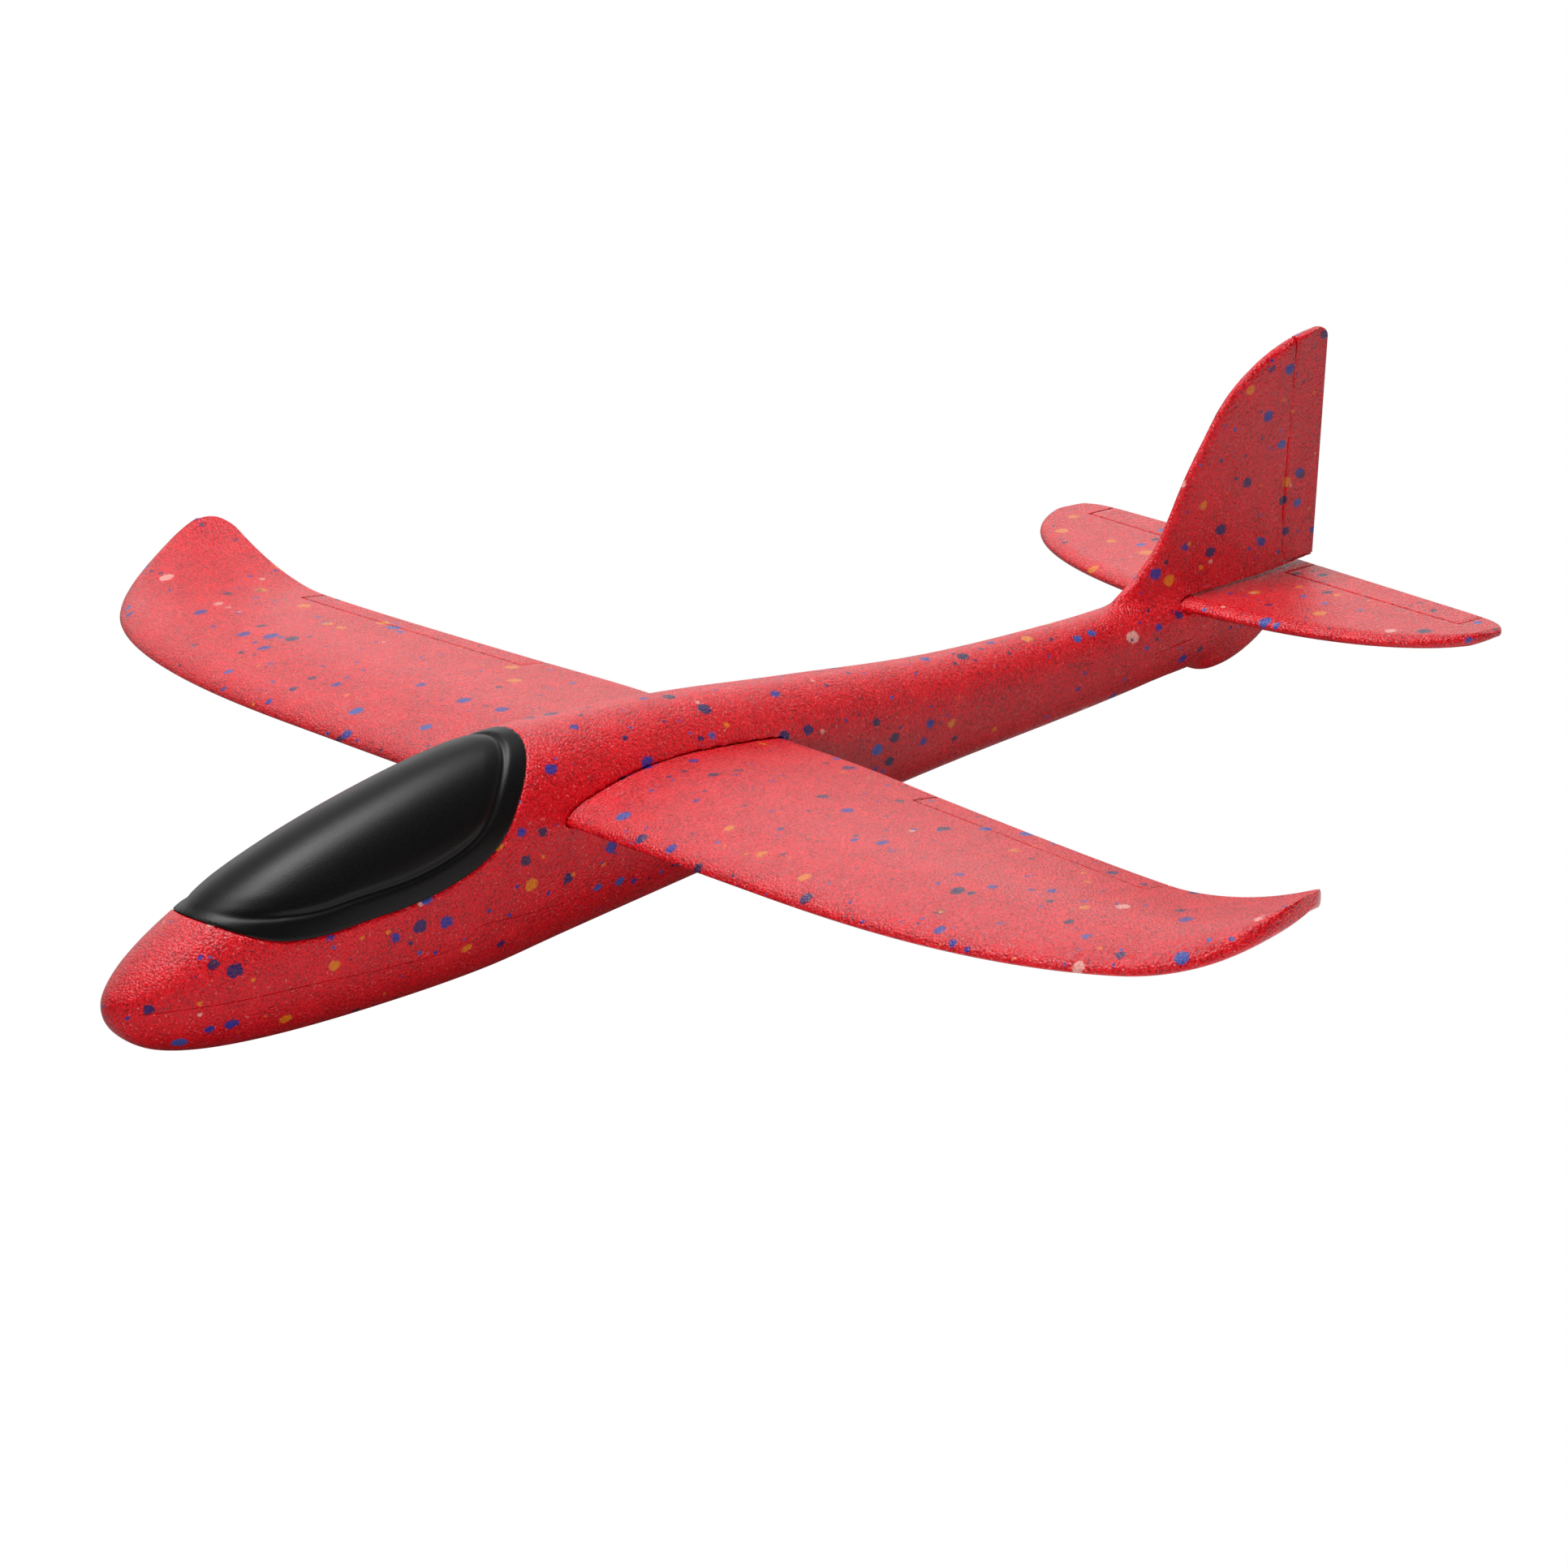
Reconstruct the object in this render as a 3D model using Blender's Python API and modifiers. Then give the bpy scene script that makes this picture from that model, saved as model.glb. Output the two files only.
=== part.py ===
"""Moulded foam hand glider, 480 mm span: a fuselage with its fin, a canopy, a nose weight, a one-piece
wing, a plug-in tailplane, and five flaps scored out of the foam.

Lengths are in metres. The nose points to -Y, the left wing to +X and the fin to +Z. The origin is below
the middle of the glider, level with the flat strip under its belly.
"""

import math

import bmesh
import bpy
from mathutils import Vector

MM = 0.001
GAP = 0.3 * MM  # clear space between two pieces that touch
SLIT = 0.3 * MM  # width of the cuts at a flap's ends

# Fuselage
NOSE_Y = -242 * MM
NOSE_Z = 19.2 * MM
BODY_END_Y = 231 * MM
RING_POINTS = 32
BODY_STATIONS = 44
FULLNESS = 2.15  # 2 is an ellipse, more is squarer
# y, bottom, top, half width, height of the widest place
HULL = [
    (-242.0, 19.2, 19.2, 0.0, 19.2),
    (-237.0, 10.4, 26.2, 8.0, 19.4),
    (-228.0, 5.1, 32.6, 13.1, 20.2),
    (-212.0, 1.6, 40.8, 17.8, 22.0),
    (-187.0, -0.2, 50.8, 21.8, 24.0),
    (-152.0, -0.5, 60.3, 24.0, 27.0),
    (-115.0, 0.7, 67.0, 24.2, 29.0),
    (-86.0, 3.8, 68.5, 23.3, 31.0),
    (-34.0, 9.0, 65.5, 20.3, 33.0),
    (17.0, 14.0, 59.8, 17.2, 35.0),
    (75.0, 19.2, 53.7, 14.0, 36.0),
    (132.0, 22.9, 52.0, 11.8, 37.5),
    (165.0, 25.6, 53.0, 10.3, 39.0),
    (200.0, 29.5, 54.5, 7.8, 42.0),
    (231.0, 46.0, 54.5, 3.0, 49.0),
]
BELLY_Z = 0.0

# Skid: the keel under the tail
SKID_HALF_WIDTH = 5.5 * MM
# y, bottom
KEEL = [
    (182.0, 27.8),
    (187.0, 25.0),
    (193.0, 23.8),
    (203.0, 25.2),
    (214.0, 29.8),
    (224.0, 37.0),
    (231.0, 44.0),
]

# Canopy
CANOPY_THICK = 1.6 * MM
CANOPY_PROUD = 0.5 * MM
# y, height of the canopy's lower edge in side view
CANOPY_EDGE = [
    (-219.0, 43.0),
    (-212.0, 40.0),
    (-203.0, 36.0),
    (-194.5, 33.4),
    (-181.5, 32.5),
    (-168.5, 33.5),
    (-147.5, 35.0),
    (-131.0, 38.4),
    (-119.5, 43.0),
    (-112.5, 48.5),
    (-107.0, 54.5),
    (-100.0, 62.0),
    (-92.0, 71.0),
]
CANOPY_TOP_Z = 90 * MM
PEG_RADIUS = 2.0 * MM
PEG_LENGTH = 7.0 * MM
PEG_Y = (-200 * MM, -112 * MM)

# Nose weight and its pocket
WEIGHT_SIZE = Vector((9 * MM, 24 * MM, 6 * MM))
WEIGHT_Y = -178 * MM
WEIGHT_BOTTOM_Z = 27 * MM
WEIGHT_EDGE = 0.6 * MM

# Wing
HALF_SPAN = 240 * MM
WING_LE_Y = -92 * MM
WING_TIP_Y = -14.5 * MM
WING_CHORD = 84 * MM
WING_STRAIGHT_X = 100 * MM  # the leading edge is straight up to here
WING_TIP_POWER = 2.48
TIP_KEEP = 0.7  # share of the thickness left at the rim of the tip
TIP_CORNER = 9 * MM  # rounds the trailing edge into the tip
TIP_THICKER = 3 * MM  # added to the trailing edge's thickness at the tip
WING_LE_Z = 45.5 * MM
WING_TE_Z = 47.4 * MM
WING_RISE = 3.5 * MM
WING_THICK = 6.6 * MM
WING_LE_THICK = 4.4 * MM
WING_TE_THICK = 2.4 * MM
TIP_ROUND = 2 * MM  # how far in from a tip its edge is rounded
TIP_CURL_X = 185 * MM
TIP_CURL = 12.7 * MM
TIP_CURL_SWEEP = 0.55  # the curl starts this much further out for each length ahead of the trailing edge
# x, trailing edge y
WING_TE = [
    (0.0, -1.8),
    (50.0, -2.2),
    (90.0, -5.5),
    (150.0, -9.5),
    (185.0, -10.5),
    (205.0, -9.0),
    (225.0, -7.0),
    (240.0, -5.5),
]
WING_X = [0, 27, 55, 84, 110, 135, 160, 184, 197, 208, 217, 224, 229, 232.5, 235.5, 237.8, 239.2, 239.9]

# Ailerons
AILERON_IN_X = 85 * MM
AILERON_OUT_X = 183 * MM
AILERON_IN_Y = -15.5 * MM
AILERON_OUT_Y = -20.8 * MM

# Tailplane and elevators
TAIL_HALF_SPAN = 92 * MM
TAIL_Z = 49.2 * MM
TAIL_THICK = 4.0 * MM
TAIL_LE_Y = 174.5 * MM
TAIL_SWEEP = 0.10
TAIL_TE_Y = 236.5 * MM
TAIL_TE_SWEEP = 0.03
TAIL_TIP_POWER = 3.0
TAIL_X = [0, 6.4, 20, 40, 58, 70, 80, 85.5, 89, 91, 91.8]
ELEVATOR_IN_X = 6.5 * MM
ELEVATOR_OUT_X = 80 * MM
ELEVATOR_Y = 222 * MM

# Fin and rudder
FIN_THICK = 5.0 * MM
FIN_TOP_THICK = 4.0 * MM
FIN_TOP_Z = 125.5 * MM
FIN_ROOT_Z = 50 * MM
# z, leading edge y
FIN_LE = [
    (44.0, 150.0),
    (54.0, 152.0),
    (59.0, 160.4),
    (68.5, 170.8),
    (87.0, 182.4),
    (97.5, 190.0),
    (110.0, 200.5),
    (119.0, 214.5),
    (124.0, 229.0),
    (125.5, 241.0),
]
FIN_TE_LOW = (240.5 * MM, 48.5 * MM)
FIN_TE_HIGH = (245.5 * MM, 122.0 * MM)
FIN_Z = [44, 50, 56, 62, 69, 78, 88, 98, 107, 114, 119, 122.2, 124.2, 125.3]
RUDDER_LOW = (225.5 * MM, 53.5 * MM)
RUDDER_HIGH = (230.5 * MM, 125.5 * MM)
RUDDER_BOTTOM_Z = TAIL_Z + TAIL_THICK / 2 + 0.8 * MM

FLAP_REACH = 30 * MM  # past any flap's trailing edge
FLAP_BEVEL = math.radians(26)  # lets a flap swing 20 degrees before it meets the foam ahead of it


# Numbers and outlines


def smooth(table, at, column=1, warp=None):
    """Value at a place on the smooth curve through a table's (place, value, ...) rows, all in mm."""
    bend = warp or (lambda place: place)
    places = [bend(row[0]) for row in table]
    values = [row[column] for row in table]
    place = bend(at)
    last = len(table) - 1
    if place <= places[0]:
        return values[0]
    if place >= places[last]:
        return values[last]
    i = max(k for k in range(last) if places[k] <= place)

    def slope(k):
        low, high = max(k - 1, 0), min(k + 1, last)
        return (values[high] - values[low]) / (places[high] - places[low])

    span = places[i + 1] - places[i]
    t = (place - places[i]) / span
    return (
        (2 * t**3 - 3 * t**2 + 1) * values[i]
        + (t**3 - 2 * t**2 + t) * span * slope(i)
        + (3 * t**2 - 2 * t**3) * values[i + 1]
        + (t**3 - t**2) * span * slope(i + 1)
    )


def from_nose(y_mm):
    """Square root of the distance behind the nose tip, which rounds a profile that starts there."""
    return math.sqrt(max(y_mm - NOSE_Y / MM, 0.0))


def hull_value(y, column):
    return smooth(HULL, y / MM, column, from_nose) * MM


def power(value, exponent):
    return math.copysign(abs(value) ** exponent, value)


def hull_ring(y, offset=0.0):
    """Cross-section of the fuselage at y, grown outwards by offset."""
    bottom, top, half, wide = (hull_value(y, column) for column in (1, 2, 3, 4))
    ring = []
    for k in range(RING_POINTS):
        angle = 2 * math.pi * k / RING_POINTS
        x = power(math.cos(angle), 2 / FULLNESS) * (half + offset)
        reach = (top - wide if math.sin(angle) > 0 else wide - bottom) + offset
        z = wide + power(math.sin(angle), 2 / FULLNESS) * reach
        ring.append(Vector((x, y, max(z, BELLY_Z))))
    return ring


# Mesh tools


def new_object(name, mesh, collection):
    thing = bpy.data.objects.new(name, mesh)
    collection.objects.link(thing)
    return thing


def mesh_from(name, bm):
    bmesh.ops.recalc_face_normals(bm, faces=bm.faces)
    mesh = bpy.data.meshes.new(name)
    bm.to_mesh(mesh)
    bm.free()
    return mesh


def loft(name, rings, collection, tip=None):
    """Skin over rings of points with flat ends, or with a point called tip before the first ring."""
    bm = bmesh.new()
    rows = [[bm.verts.new(point) for point in ring] for ring in rings]
    count = len(rows[0])
    for low, high in zip(rows, rows[1:]):
        for k in range(count):
            n = (k + 1) % count
            bm.faces.new((low[k], low[n], high[n], high[k]))
    if tip is None:
        bm.faces.new(rows[0])
    else:
        peak = bm.verts.new(tip)
        for k in range(count):
            bm.faces.new((rows[0][k], rows[0][(k + 1) % count], peak))
    bm.faces.new(rows[-1])
    bmesh.ops.triangulate(bm, faces=bm.faces)
    return new_object(name, mesh_from(name, bm), collection)


def prism(name, outline, direction, collection):
    """Solid swept straight along direction from a flat outline of points."""
    bm = bmesh.new()
    face = bm.faces.new([bm.verts.new(point) for point in outline])
    swept = bmesh.ops.extrude_face_region(bm, geom=[face])
    moved = [item for item in swept["geom"] if isinstance(item, bmesh.types.BMVert)]
    bmesh.ops.translate(bm, verts=moved, vec=direction)
    return new_object(name, mesh_from(name, bm), collection)


def block(name, low, high, collection):
    bm = bmesh.new()
    bmesh.ops.create_cube(bm, size=1)
    low, high = Vector(low), Vector(high)
    bmesh.ops.scale(bm, vec=high - low, verts=bm.verts)
    bmesh.ops.translate(bm, vec=(high + low) / 2, verts=bm.verts)
    return new_object(name, mesh_from(name, bm), collection)


def peg(name, centre, radius, length, collection):
    bm = bmesh.new()
    bmesh.ops.create_cone(
        bm, cap_ends=True, segments=16, radius1=radius, radius2=radius, depth=length
    )
    bmesh.ops.translate(bm, vec=centre, verts=bm.verts)
    return new_object(name, mesh_from(name, bm), collection)


def cut(thing, cutter, operation="DIFFERENCE"):
    step = thing.modifiers.new(operation.title() + " " + cutter.name, "BOOLEAN")
    step.operation = operation
    step.solver = "EXACT"
    step.object = cutter
    cutter.hide_render = True
    cutter.display_type = "WIRE"


def evaluated(thing):
    """A new mesh of the object with its modifiers applied."""
    bpy.context.view_layer.update()
    return bpy.data.meshes.new_from_object(
        thing.evaluated_get(bpy.context.evaluated_depsgraph_get())
    )


def cut_copy(name, thing, cutter, operation, collection):
    """A new object: thing after its modifiers, cut by cutter."""
    copy = new_object(name, evaluated(thing), collection)
    copy.matrix_world = thing.matrix_world
    cut(copy, cutter, operation)
    return copy


def set_origin(thing, origin):
    """Moves an object's own origin and leaves its shape in place. It applies its modifiers first."""
    mesh = evaluated(thing)
    thing.modifiers.clear()
    thing.data = mesh
    mesh.transform(thing.matrix_world)
    origin = Vector(origin)
    for vertex in mesh.vertices:
        vertex.co -= origin
    thing.location = origin


def material(name, colour, roughness, metallic=0.0):
    made = bpy.data.materials.new(name)
    made.use_nodes = True
    shader = made.node_tree.nodes["Principled BSDF"]
    shader.inputs["Base Color"].default_value = (*colour, 1)
    shader.inputs["Roughness"].default_value = roughness
    shader.inputs["Metallic"].default_value = metallic
    made.diffuse_color = (*colour, 1)
    return made


# Fuselage


def hull_stations():
    """Places along the fuselage, closer together at the round nose."""
    first, last = from_nose(NOSE_Y / MM + 1.0), from_nose(BODY_END_Y / MM)
    steps = [first + (last - first) * k / (BODY_STATIONS - 1) for k in range(BODY_STATIONS)]
    return [NOSE_Y + step**2 * MM for step in steps]


def hull_loft(name, collection, offset=0.0):
    rings = [hull_ring(y, offset) for y in hull_stations()]
    tip = Vector((0, NOSE_Y - offset, NOSE_Z))
    return loft(name, rings, collection, tip)


def keel_loft(name, collection):
    """The skid under the tail, which runs up into the fuselage."""
    rings = []
    top = TAIL_Z + 2 * MM
    for row in KEEL:
        y = row[0] * MM
        bottom = row[1] * MM
        half = min(SKID_HALF_WIDTH, hull_value(y, 3) * 0.9)
        lift = min(half, (top - bottom) / 2)
        ring = [Vector((half, y, top)), Vector((half, y, bottom + lift))]
        for k in range(1, 6):
            angle = math.pi * k / 6
            ring.append(
                Vector((half * math.cos(angle), y, bottom + lift - lift * math.sin(angle)))
            )
        ring += [Vector((-half, y, bottom + lift)), Vector((-half, y, top))]
        rings.append(ring)
    return loft(name, rings, collection)


def canopy_edge_prism(name, collection, drop):
    """Everything above the canopy's lower edge, the edge lowered by drop."""
    count = 40
    first, last = CANOPY_EDGE[0][0], CANOPY_EDGE[-1][0]
    line = []
    for k in range(count + 1):
        y = first + (last - first) * k / count
        line.append((y * MM, smooth(CANOPY_EDGE, y) * MM))
    moved = []
    for k, (y, z) in enumerate(line):
        before, after = line[max(k - 1, 0)], line[min(k + 1, count)]
        run, rise = after[0] - before[0], after[1] - before[1]
        size = math.hypot(run, rise)
        moved.append((y + rise / size * drop, z - run / size * drop))
    far = 40 * MM
    outline = [Vector((-far, y, z)) for y, z in moved]
    outline.append(Vector((-far, moved[-1][0], CANOPY_TOP_Z)))
    outline.append(Vector((-far, moved[0][0], CANOPY_TOP_Z)))
    return prism(name, outline, Vector((2 * far, 0, 0)), collection)


# Flat surfaces: wing, tailplane and fin


def blade_ring(le, te, le_z, te_z, rise, thick, le_thick, te_thick, place, points=11):
    """Cross-section of a blade with a round leading edge. place turns (along, up) into a point."""
    chord = te - le
    nose = min(0.5 * le_thick, 0.4 * chord)
    shares = [0.5 * (1 - math.cos(math.pi * k / points)) for k in range(points + 1)]
    top, under = [], []
    for share in shares:
        along = share * chord
        middle = le_z + (te_z - le_z) * share + 4 * rise * share * (1 - share)
        swell = math.sin(math.pi * min(share / 0.7, 1.0)) if share < 0.7 else 0.0
        full = le_thick + (te_thick - le_thick) * share + (thick - le_thick) * swell
        if along < nose:
            full *= math.sqrt(max(1 - (1 - along / nose) ** 2, 0.0))
        top.append(place(le + along, middle + full / 2))
        under.append(place(le + along, middle - full / 2))
    return list(reversed(top)) + under[1:]


def rim_share(at, end):
    """Share of a blade's thickness left near the end of its span, on a round edge."""
    return math.sqrt(max(1 - max(at - (end - TIP_ROUND), 0.0) / TIP_ROUND, 0.0))


def wing_le(x):
    share = max(abs(x) - WING_STRAIGHT_X, 0.0) / (HALF_SPAN - WING_STRAIGHT_X)
    bulge = (1 - min(share, 1.0) ** WING_TIP_POWER) ** (1 / WING_TIP_POWER)
    return WING_TIP_Y - (WING_TIP_Y - WING_LE_Y) * bulge


def wing_te(x):
    over = max(abs(x) - (HALF_SPAN - TIP_CORNER), 0.0) / TIP_CORNER
    corner = TIP_CORNER * (1 - math.sqrt(max(1 - over**2, 0.0)))
    return smooth(WING_TE, abs(x) / MM) * MM - corner


def wing_lift(x, y):
    """How far the tips curl up at (x, y)."""
    start = TIP_CURL_X + TIP_CURL_SWEEP * max(wing_te(x) - y, 0.0)
    share = max(abs(x) - start, 0.0) / (HALF_SPAN - TIP_CURL_X)
    return TIP_CURL * share**2


def wing_ring(x, grow=0.0):
    chord = wing_te(x) - wing_le(x)
    share = chord / WING_CHORD
    round_off = TIP_KEEP + (1 - TIP_KEEP) * rim_share(abs(x), HALF_SPAN)
    thicker = TIP_THICKER * max(abs(x) - TIP_CURL_X, 0.0) / (HALF_SPAN - TIP_CURL_X)
    return blade_ring(
        wing_le(x) - grow,
        wing_te(x) + grow,
        WING_TE_Z - (WING_TE_Z - WING_LE_Z) * share,
        WING_TE_Z,
        WING_RISE * share,
        WING_THICK * round_off + 2 * grow,
        WING_LE_THICK * round_off + 2 * grow,
        (WING_TE_THICK + thicker) * round_off + 2 * grow,
        lambda along, up: Vector((x, along, up + wing_lift(x, along))),
    )


def both_sides(places_mm):
    return [-x * MM for x in reversed(places_mm) if x > 0] + [x * MM for x in places_mm]


def tail_le(x):
    share = min(abs(x) / TAIL_HALF_SPAN, 1.0)
    tip = TAIL_TE_Y - 12 * MM
    bulge = (1 - share**TAIL_TIP_POWER) ** (1 / 2.0)
    straight = TAIL_LE_Y + TAIL_SWEEP * abs(x)
    return tip - (tip - straight) * bulge


def tail_te(x):
    share = min(abs(x) / TAIL_HALF_SPAN, 1.0)
    return TAIL_TE_Y - TAIL_TE_SWEEP * abs(x) - 6 * MM * share**24


def tail_ring(x, grow=0.0):
    thick = TAIL_THICK * (0.3 + 0.7 * rim_share(abs(x), TAIL_HALF_SPAN)) + 2 * grow
    return blade_ring(
        tail_le(x) - grow,
        tail_te(x) + grow,
        TAIL_Z,
        TAIL_Z,
        0.0,
        thick,
        thick,
        0.6 * thick,
        lambda along, up: Vector((x, along, up)),
        points=8,
    )


def fin_te(z):
    (low_y, low_z), (high_y, high_z) = FIN_TE_LOW, FIN_TE_HIGH
    straight = low_y + (high_y - low_y) * (z - low_z) / (high_z - low_z)
    over = max(z - high_z, 0.0) / (FIN_TOP_Z - high_z)
    return min(straight, high_y) - 4.5 * MM * (1 - math.sqrt(max(1 - over**2, 0.0)))


def fin_ring(z):
    share = (z - FIN_ROOT_Z) / (FIN_TOP_Z - FIN_ROOT_Z)
    round_off = 0.3 + 0.7 * rim_share(z, FIN_TOP_Z)
    thick = (FIN_THICK + (FIN_TOP_THICK - FIN_THICK) * share) * round_off
    return blade_ring(
        smooth(FIN_LE, z / MM) * MM,
        fin_te(z),
        0.0,
        0.0,
        0.0,
        thick,
        0.8 * thick,
        0.5 * thick,
        lambda along, up: Vector((up, along, z)),
        points=9,
    )


# Flaps


def flap_cutters(name, inner, outer, depth, two_sided, collection):
    """Two prisms for one flap. inner and outer end its hinge line, and depth reaches through the foam.
    The first prism is the room cut for the flap, and the second is the flap, whose front slants away
    from the hinge line on one side of the foam or on both."""
    along = (outer - inner).normalized()
    aft = Vector((0, 1, 0))
    far = aft * FLAP_REACH
    through = depth * 1.5
    room = [inner - aft * GAP / 2, outer - aft * GAP / 2, outer + far, inner + far]
    space = prism(name + " space", [point - through for point in room], through * 2, collection)
    start = inner + along * SLIT + aft * GAP / 2
    sweep = outer - inner - along * 2 * SLIT
    lean = aft * depth.length * math.tan(FLAP_BEVEL)
    front = [start - depth + lean * two_sided, start, start + depth + lean]
    body = prism(name + " body", front + [front[2] + far, front[0] + far], sweep, collection)
    return space, body


def skin_height(ring_at, x, y):
    """Height of a blade's upper skin over the point (x, y)."""
    ring = ring_at(x)
    for aft, fore in zip(ring, ring[1:]):
        if fore.y <= y <= aft.y:
            share = (y - fore.y) / max(aft.y - fore.y, 1e-9)
            return fore.z + (aft.z - fore.z) * share
    return ring[0].z


def make_flap(name, blade, ends, depth, collections, two_sided=0):
    """Makes a flap from the end of a blade, with its origin in the middle of its hinge line. It returns
    the flap and the tool that cuts its room."""
    parts, cutters = collections
    inner, outer = (Vector(end) for end in ends)
    space, body = flap_cutters(name, inner, outer, depth, two_sided, cutters)
    flap = cut_copy(name, blade, body, "INTERSECT", parts)
    set_origin(flap, (inner + outer) / 2)
    return flap, space


# Assembly


def make_wing(collections):
    """The one-piece wing and its two ailerons."""
    parts, cutters = collections
    wing = loft("wing", [wing_ring(x) for x in both_sides(WING_X)], parts)
    for name, side in (("aileron_left", 1), ("aileron_right", -1)):
        ends = []
        for x, y in ((AILERON_IN_X, AILERON_IN_Y), (AILERON_OUT_X, AILERON_OUT_Y)):
            ends.append((side * x, y, skin_height(wing_ring, x, y)))
        flap, space = make_flap(name, wing, ends, Vector((0, 0, -12 * MM)), collections)
        cut(wing, space)
        follow(flap, wing)
    slot_places = (-60 * MM, 0.0, 60 * MM)
    slot = loft("wing slot", [wing_ring(x, GAP) for x in slot_places], cutters)
    return wing, slot


def make_tailplane(collections):
    """The plug-in tailplane, its two elevators and the tools that cut its slot."""
    parts, cutters = collections
    tailplane = loft("tailplane", [tail_ring(x) for x in both_sides(TAIL_X)], parts)
    set_origin(tailplane, (0, TAIL_LE_Y, TAIL_Z))
    for name, side in (("elevator_left", 1), ("elevator_right", -1)):
        ends = [(side * x, ELEVATOR_Y, skin_height(tail_ring, x, ELEVATOR_Y))
                for x in (ELEVATOR_IN_X, ELEVATOR_OUT_X)]
        flap, space = make_flap(name, tailplane, ends, Vector((0, 0, -8 * MM)), collections)
        cut(tailplane, space)
        follow(flap, tailplane)
    slot_places = (-30 * MM, 0.0, 30 * MM)
    slot = loft("tail slot", [tail_ring(x, GAP) for x in slot_places], cutters)
    half = TAIL_THICK / 2 + GAP
    mouth = block(
        "tail slot mouth",
        (slot_places[0], TAIL_LE_Y + TAIL_THICK, TAIL_Z - half),
        (slot_places[-1], FIN_TE_HIGH[0] + 10 * MM, TAIL_Z + half),
        cutters,
    )
    return tailplane, slot, mouth


def follow(child, parent):
    """Parents child to parent and leaves it in place."""
    bpy.context.view_layer.update()
    child.parent = parent
    child.matrix_parent_inverse = parent.matrix_world.inverted()


def make_canopy(collections):
    """The thin canopy with its two pegs, and the tool that cuts its seat in the foam."""
    parts, cutters = collections
    inside = CANOPY_PROUD - CANOPY_THICK
    canopy = hull_loft("canopy", parts, CANOPY_PROUD)
    cut(canopy, canopy_edge_prism("canopy outline", cutters, 0.0), "INTERSECT")
    cut(canopy, hull_loft("canopy inside", cutters, inside))
    seat = hull_loft("canopy seat", cutters, 4 * MM)
    cut(seat, canopy_edge_prism("seat outline", cutters, GAP), "INTERSECT")
    cut(seat, hull_loft("seat floor", cutters, inside - GAP))
    holes = []
    for k, y in enumerate(PEG_Y):
        skin = hull_value(y, 2) + inside
        middle = skin + 0.7 * MM - PEG_LENGTH / 2
        pin = peg("peg %d" % k, (0, y, middle), PEG_RADIUS, PEG_LENGTH, cutters)
        cut(canopy, pin, "UNION")
        deep = PEG_LENGTH + 2 * GAP
        hole_radius = PEG_RADIUS + GAP
        holes.append(peg("peg hole %d" % k, (0, y, middle), hole_radius, deep, cutters))
    set_origin(canopy, (0, (PEG_Y[0] + PEG_Y[1]) / 2, CANOPY_EDGE[4][1] * MM))
    return canopy, seat, holes


def make_weight(collections):
    """The steel nose weight and the tool that cuts its pocket."""
    parts, cutters = collections
    half = WEIGHT_SIZE / 2
    middle = Vector((0, WEIGHT_Y, WEIGHT_BOTTOM_Z + half.z))
    weight = block("nose_weight", -half, half, parts)
    weight.location = middle
    edge = weight.modifiers.new("Rounded edges", "BEVEL")
    edge.width = WEIGHT_EDGE
    edge.segments = 2
    room = Vector((GAP, GAP, GAP))
    top = Vector((0, 0, 60 * MM - WEIGHT_BOTTOM_Z))
    pocket = block("weight pocket", middle - half - room, middle + half + room + top, cutters)
    return weight, pocket


def make_fuselage(collections, tools):
    """The fuselage with its fin and skid, and the rudder cut out of the fin."""
    parts, cutters = collections
    fuselage = hull_loft("fuselage", parts)
    fin = loft("fin", [fin_ring(z * MM) for z in FIN_Z], cutters)
    hinge = []
    for z in (RUDDER_BOTTOM_Z, FIN_TOP_Z + 2 * MM):
        (low_y, low_z), (high_y, high_z) = RUDDER_LOW, RUDDER_HIGH
        hinge.append((0, low_y + (high_y - low_y) * (z - low_z) / (high_z - low_z), z))
    depth = Vector((6 * MM, 0, 0))
    rudder, rudder_room = make_flap("rudder", fin, hinge, depth, collections, 1)
    cut(fuselage, keel_loft("keel", cutters), "UNION")
    cut(fuselage, fin, "UNION")
    for tool in [*tools, rudder_room]:
        cut(fuselage, tool)
    follow(rudder, fuselage)
    return fuselage


def paint(thing, name, colour, roughness, metallic=0.0):
    thing.data.materials.clear()
    thing.data.materials.append(material(name, colour, roughness, metallic))


def build():
    for thing in list(bpy.data.objects):
        bpy.data.objects.remove(thing, do_unlink=True)
    parts = bpy.data.collections.new("foam_hand_glider")
    cutters = bpy.data.collections.new("cutters")
    for collection in (parts, cutters):
        bpy.context.scene.collection.children.link(collection)
    collections = (parts, cutters)

    wing, wing_slot = make_wing(collections)
    tailplane, tail_slot, tail_mouth = make_tailplane(collections)
    canopy, seat, holes = make_canopy(collections)
    weight, pocket = make_weight(collections)
    tools = [seat, *holes, pocket, wing_slot, tail_slot, tail_mouth]
    make_fuselage(collections, tools)

    for thing in parts.objects:
        if thing == canopy:
            paint(thing, "Black plastic", (0.012, 0.012, 0.013), 0.4)
        elif thing == weight:
            paint(thing, "Zinc-plated steel", (0.55, 0.55, 0.55), 0.35, 1.0)
        else:
            paint(thing, "Red foam of " + thing.name, (0.62, 0.03, 0.03), 0.5)


if __name__ == "__main__":
    build()
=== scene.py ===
"""Looks of the moulded foam hand glider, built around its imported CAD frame.

Lengths are in metres, and the tables' are in millimetres. The nose points to -Y, the left wing to +X
and the fin to +Z. Each foam piece repeats the formula of the CAD node that it replaces, at a finer step.
"""

import math

import bmesh
import bpy
import numpy as np
from mathutils import Matrix, Vector
from mathutils.kdtree import KDTree


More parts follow.
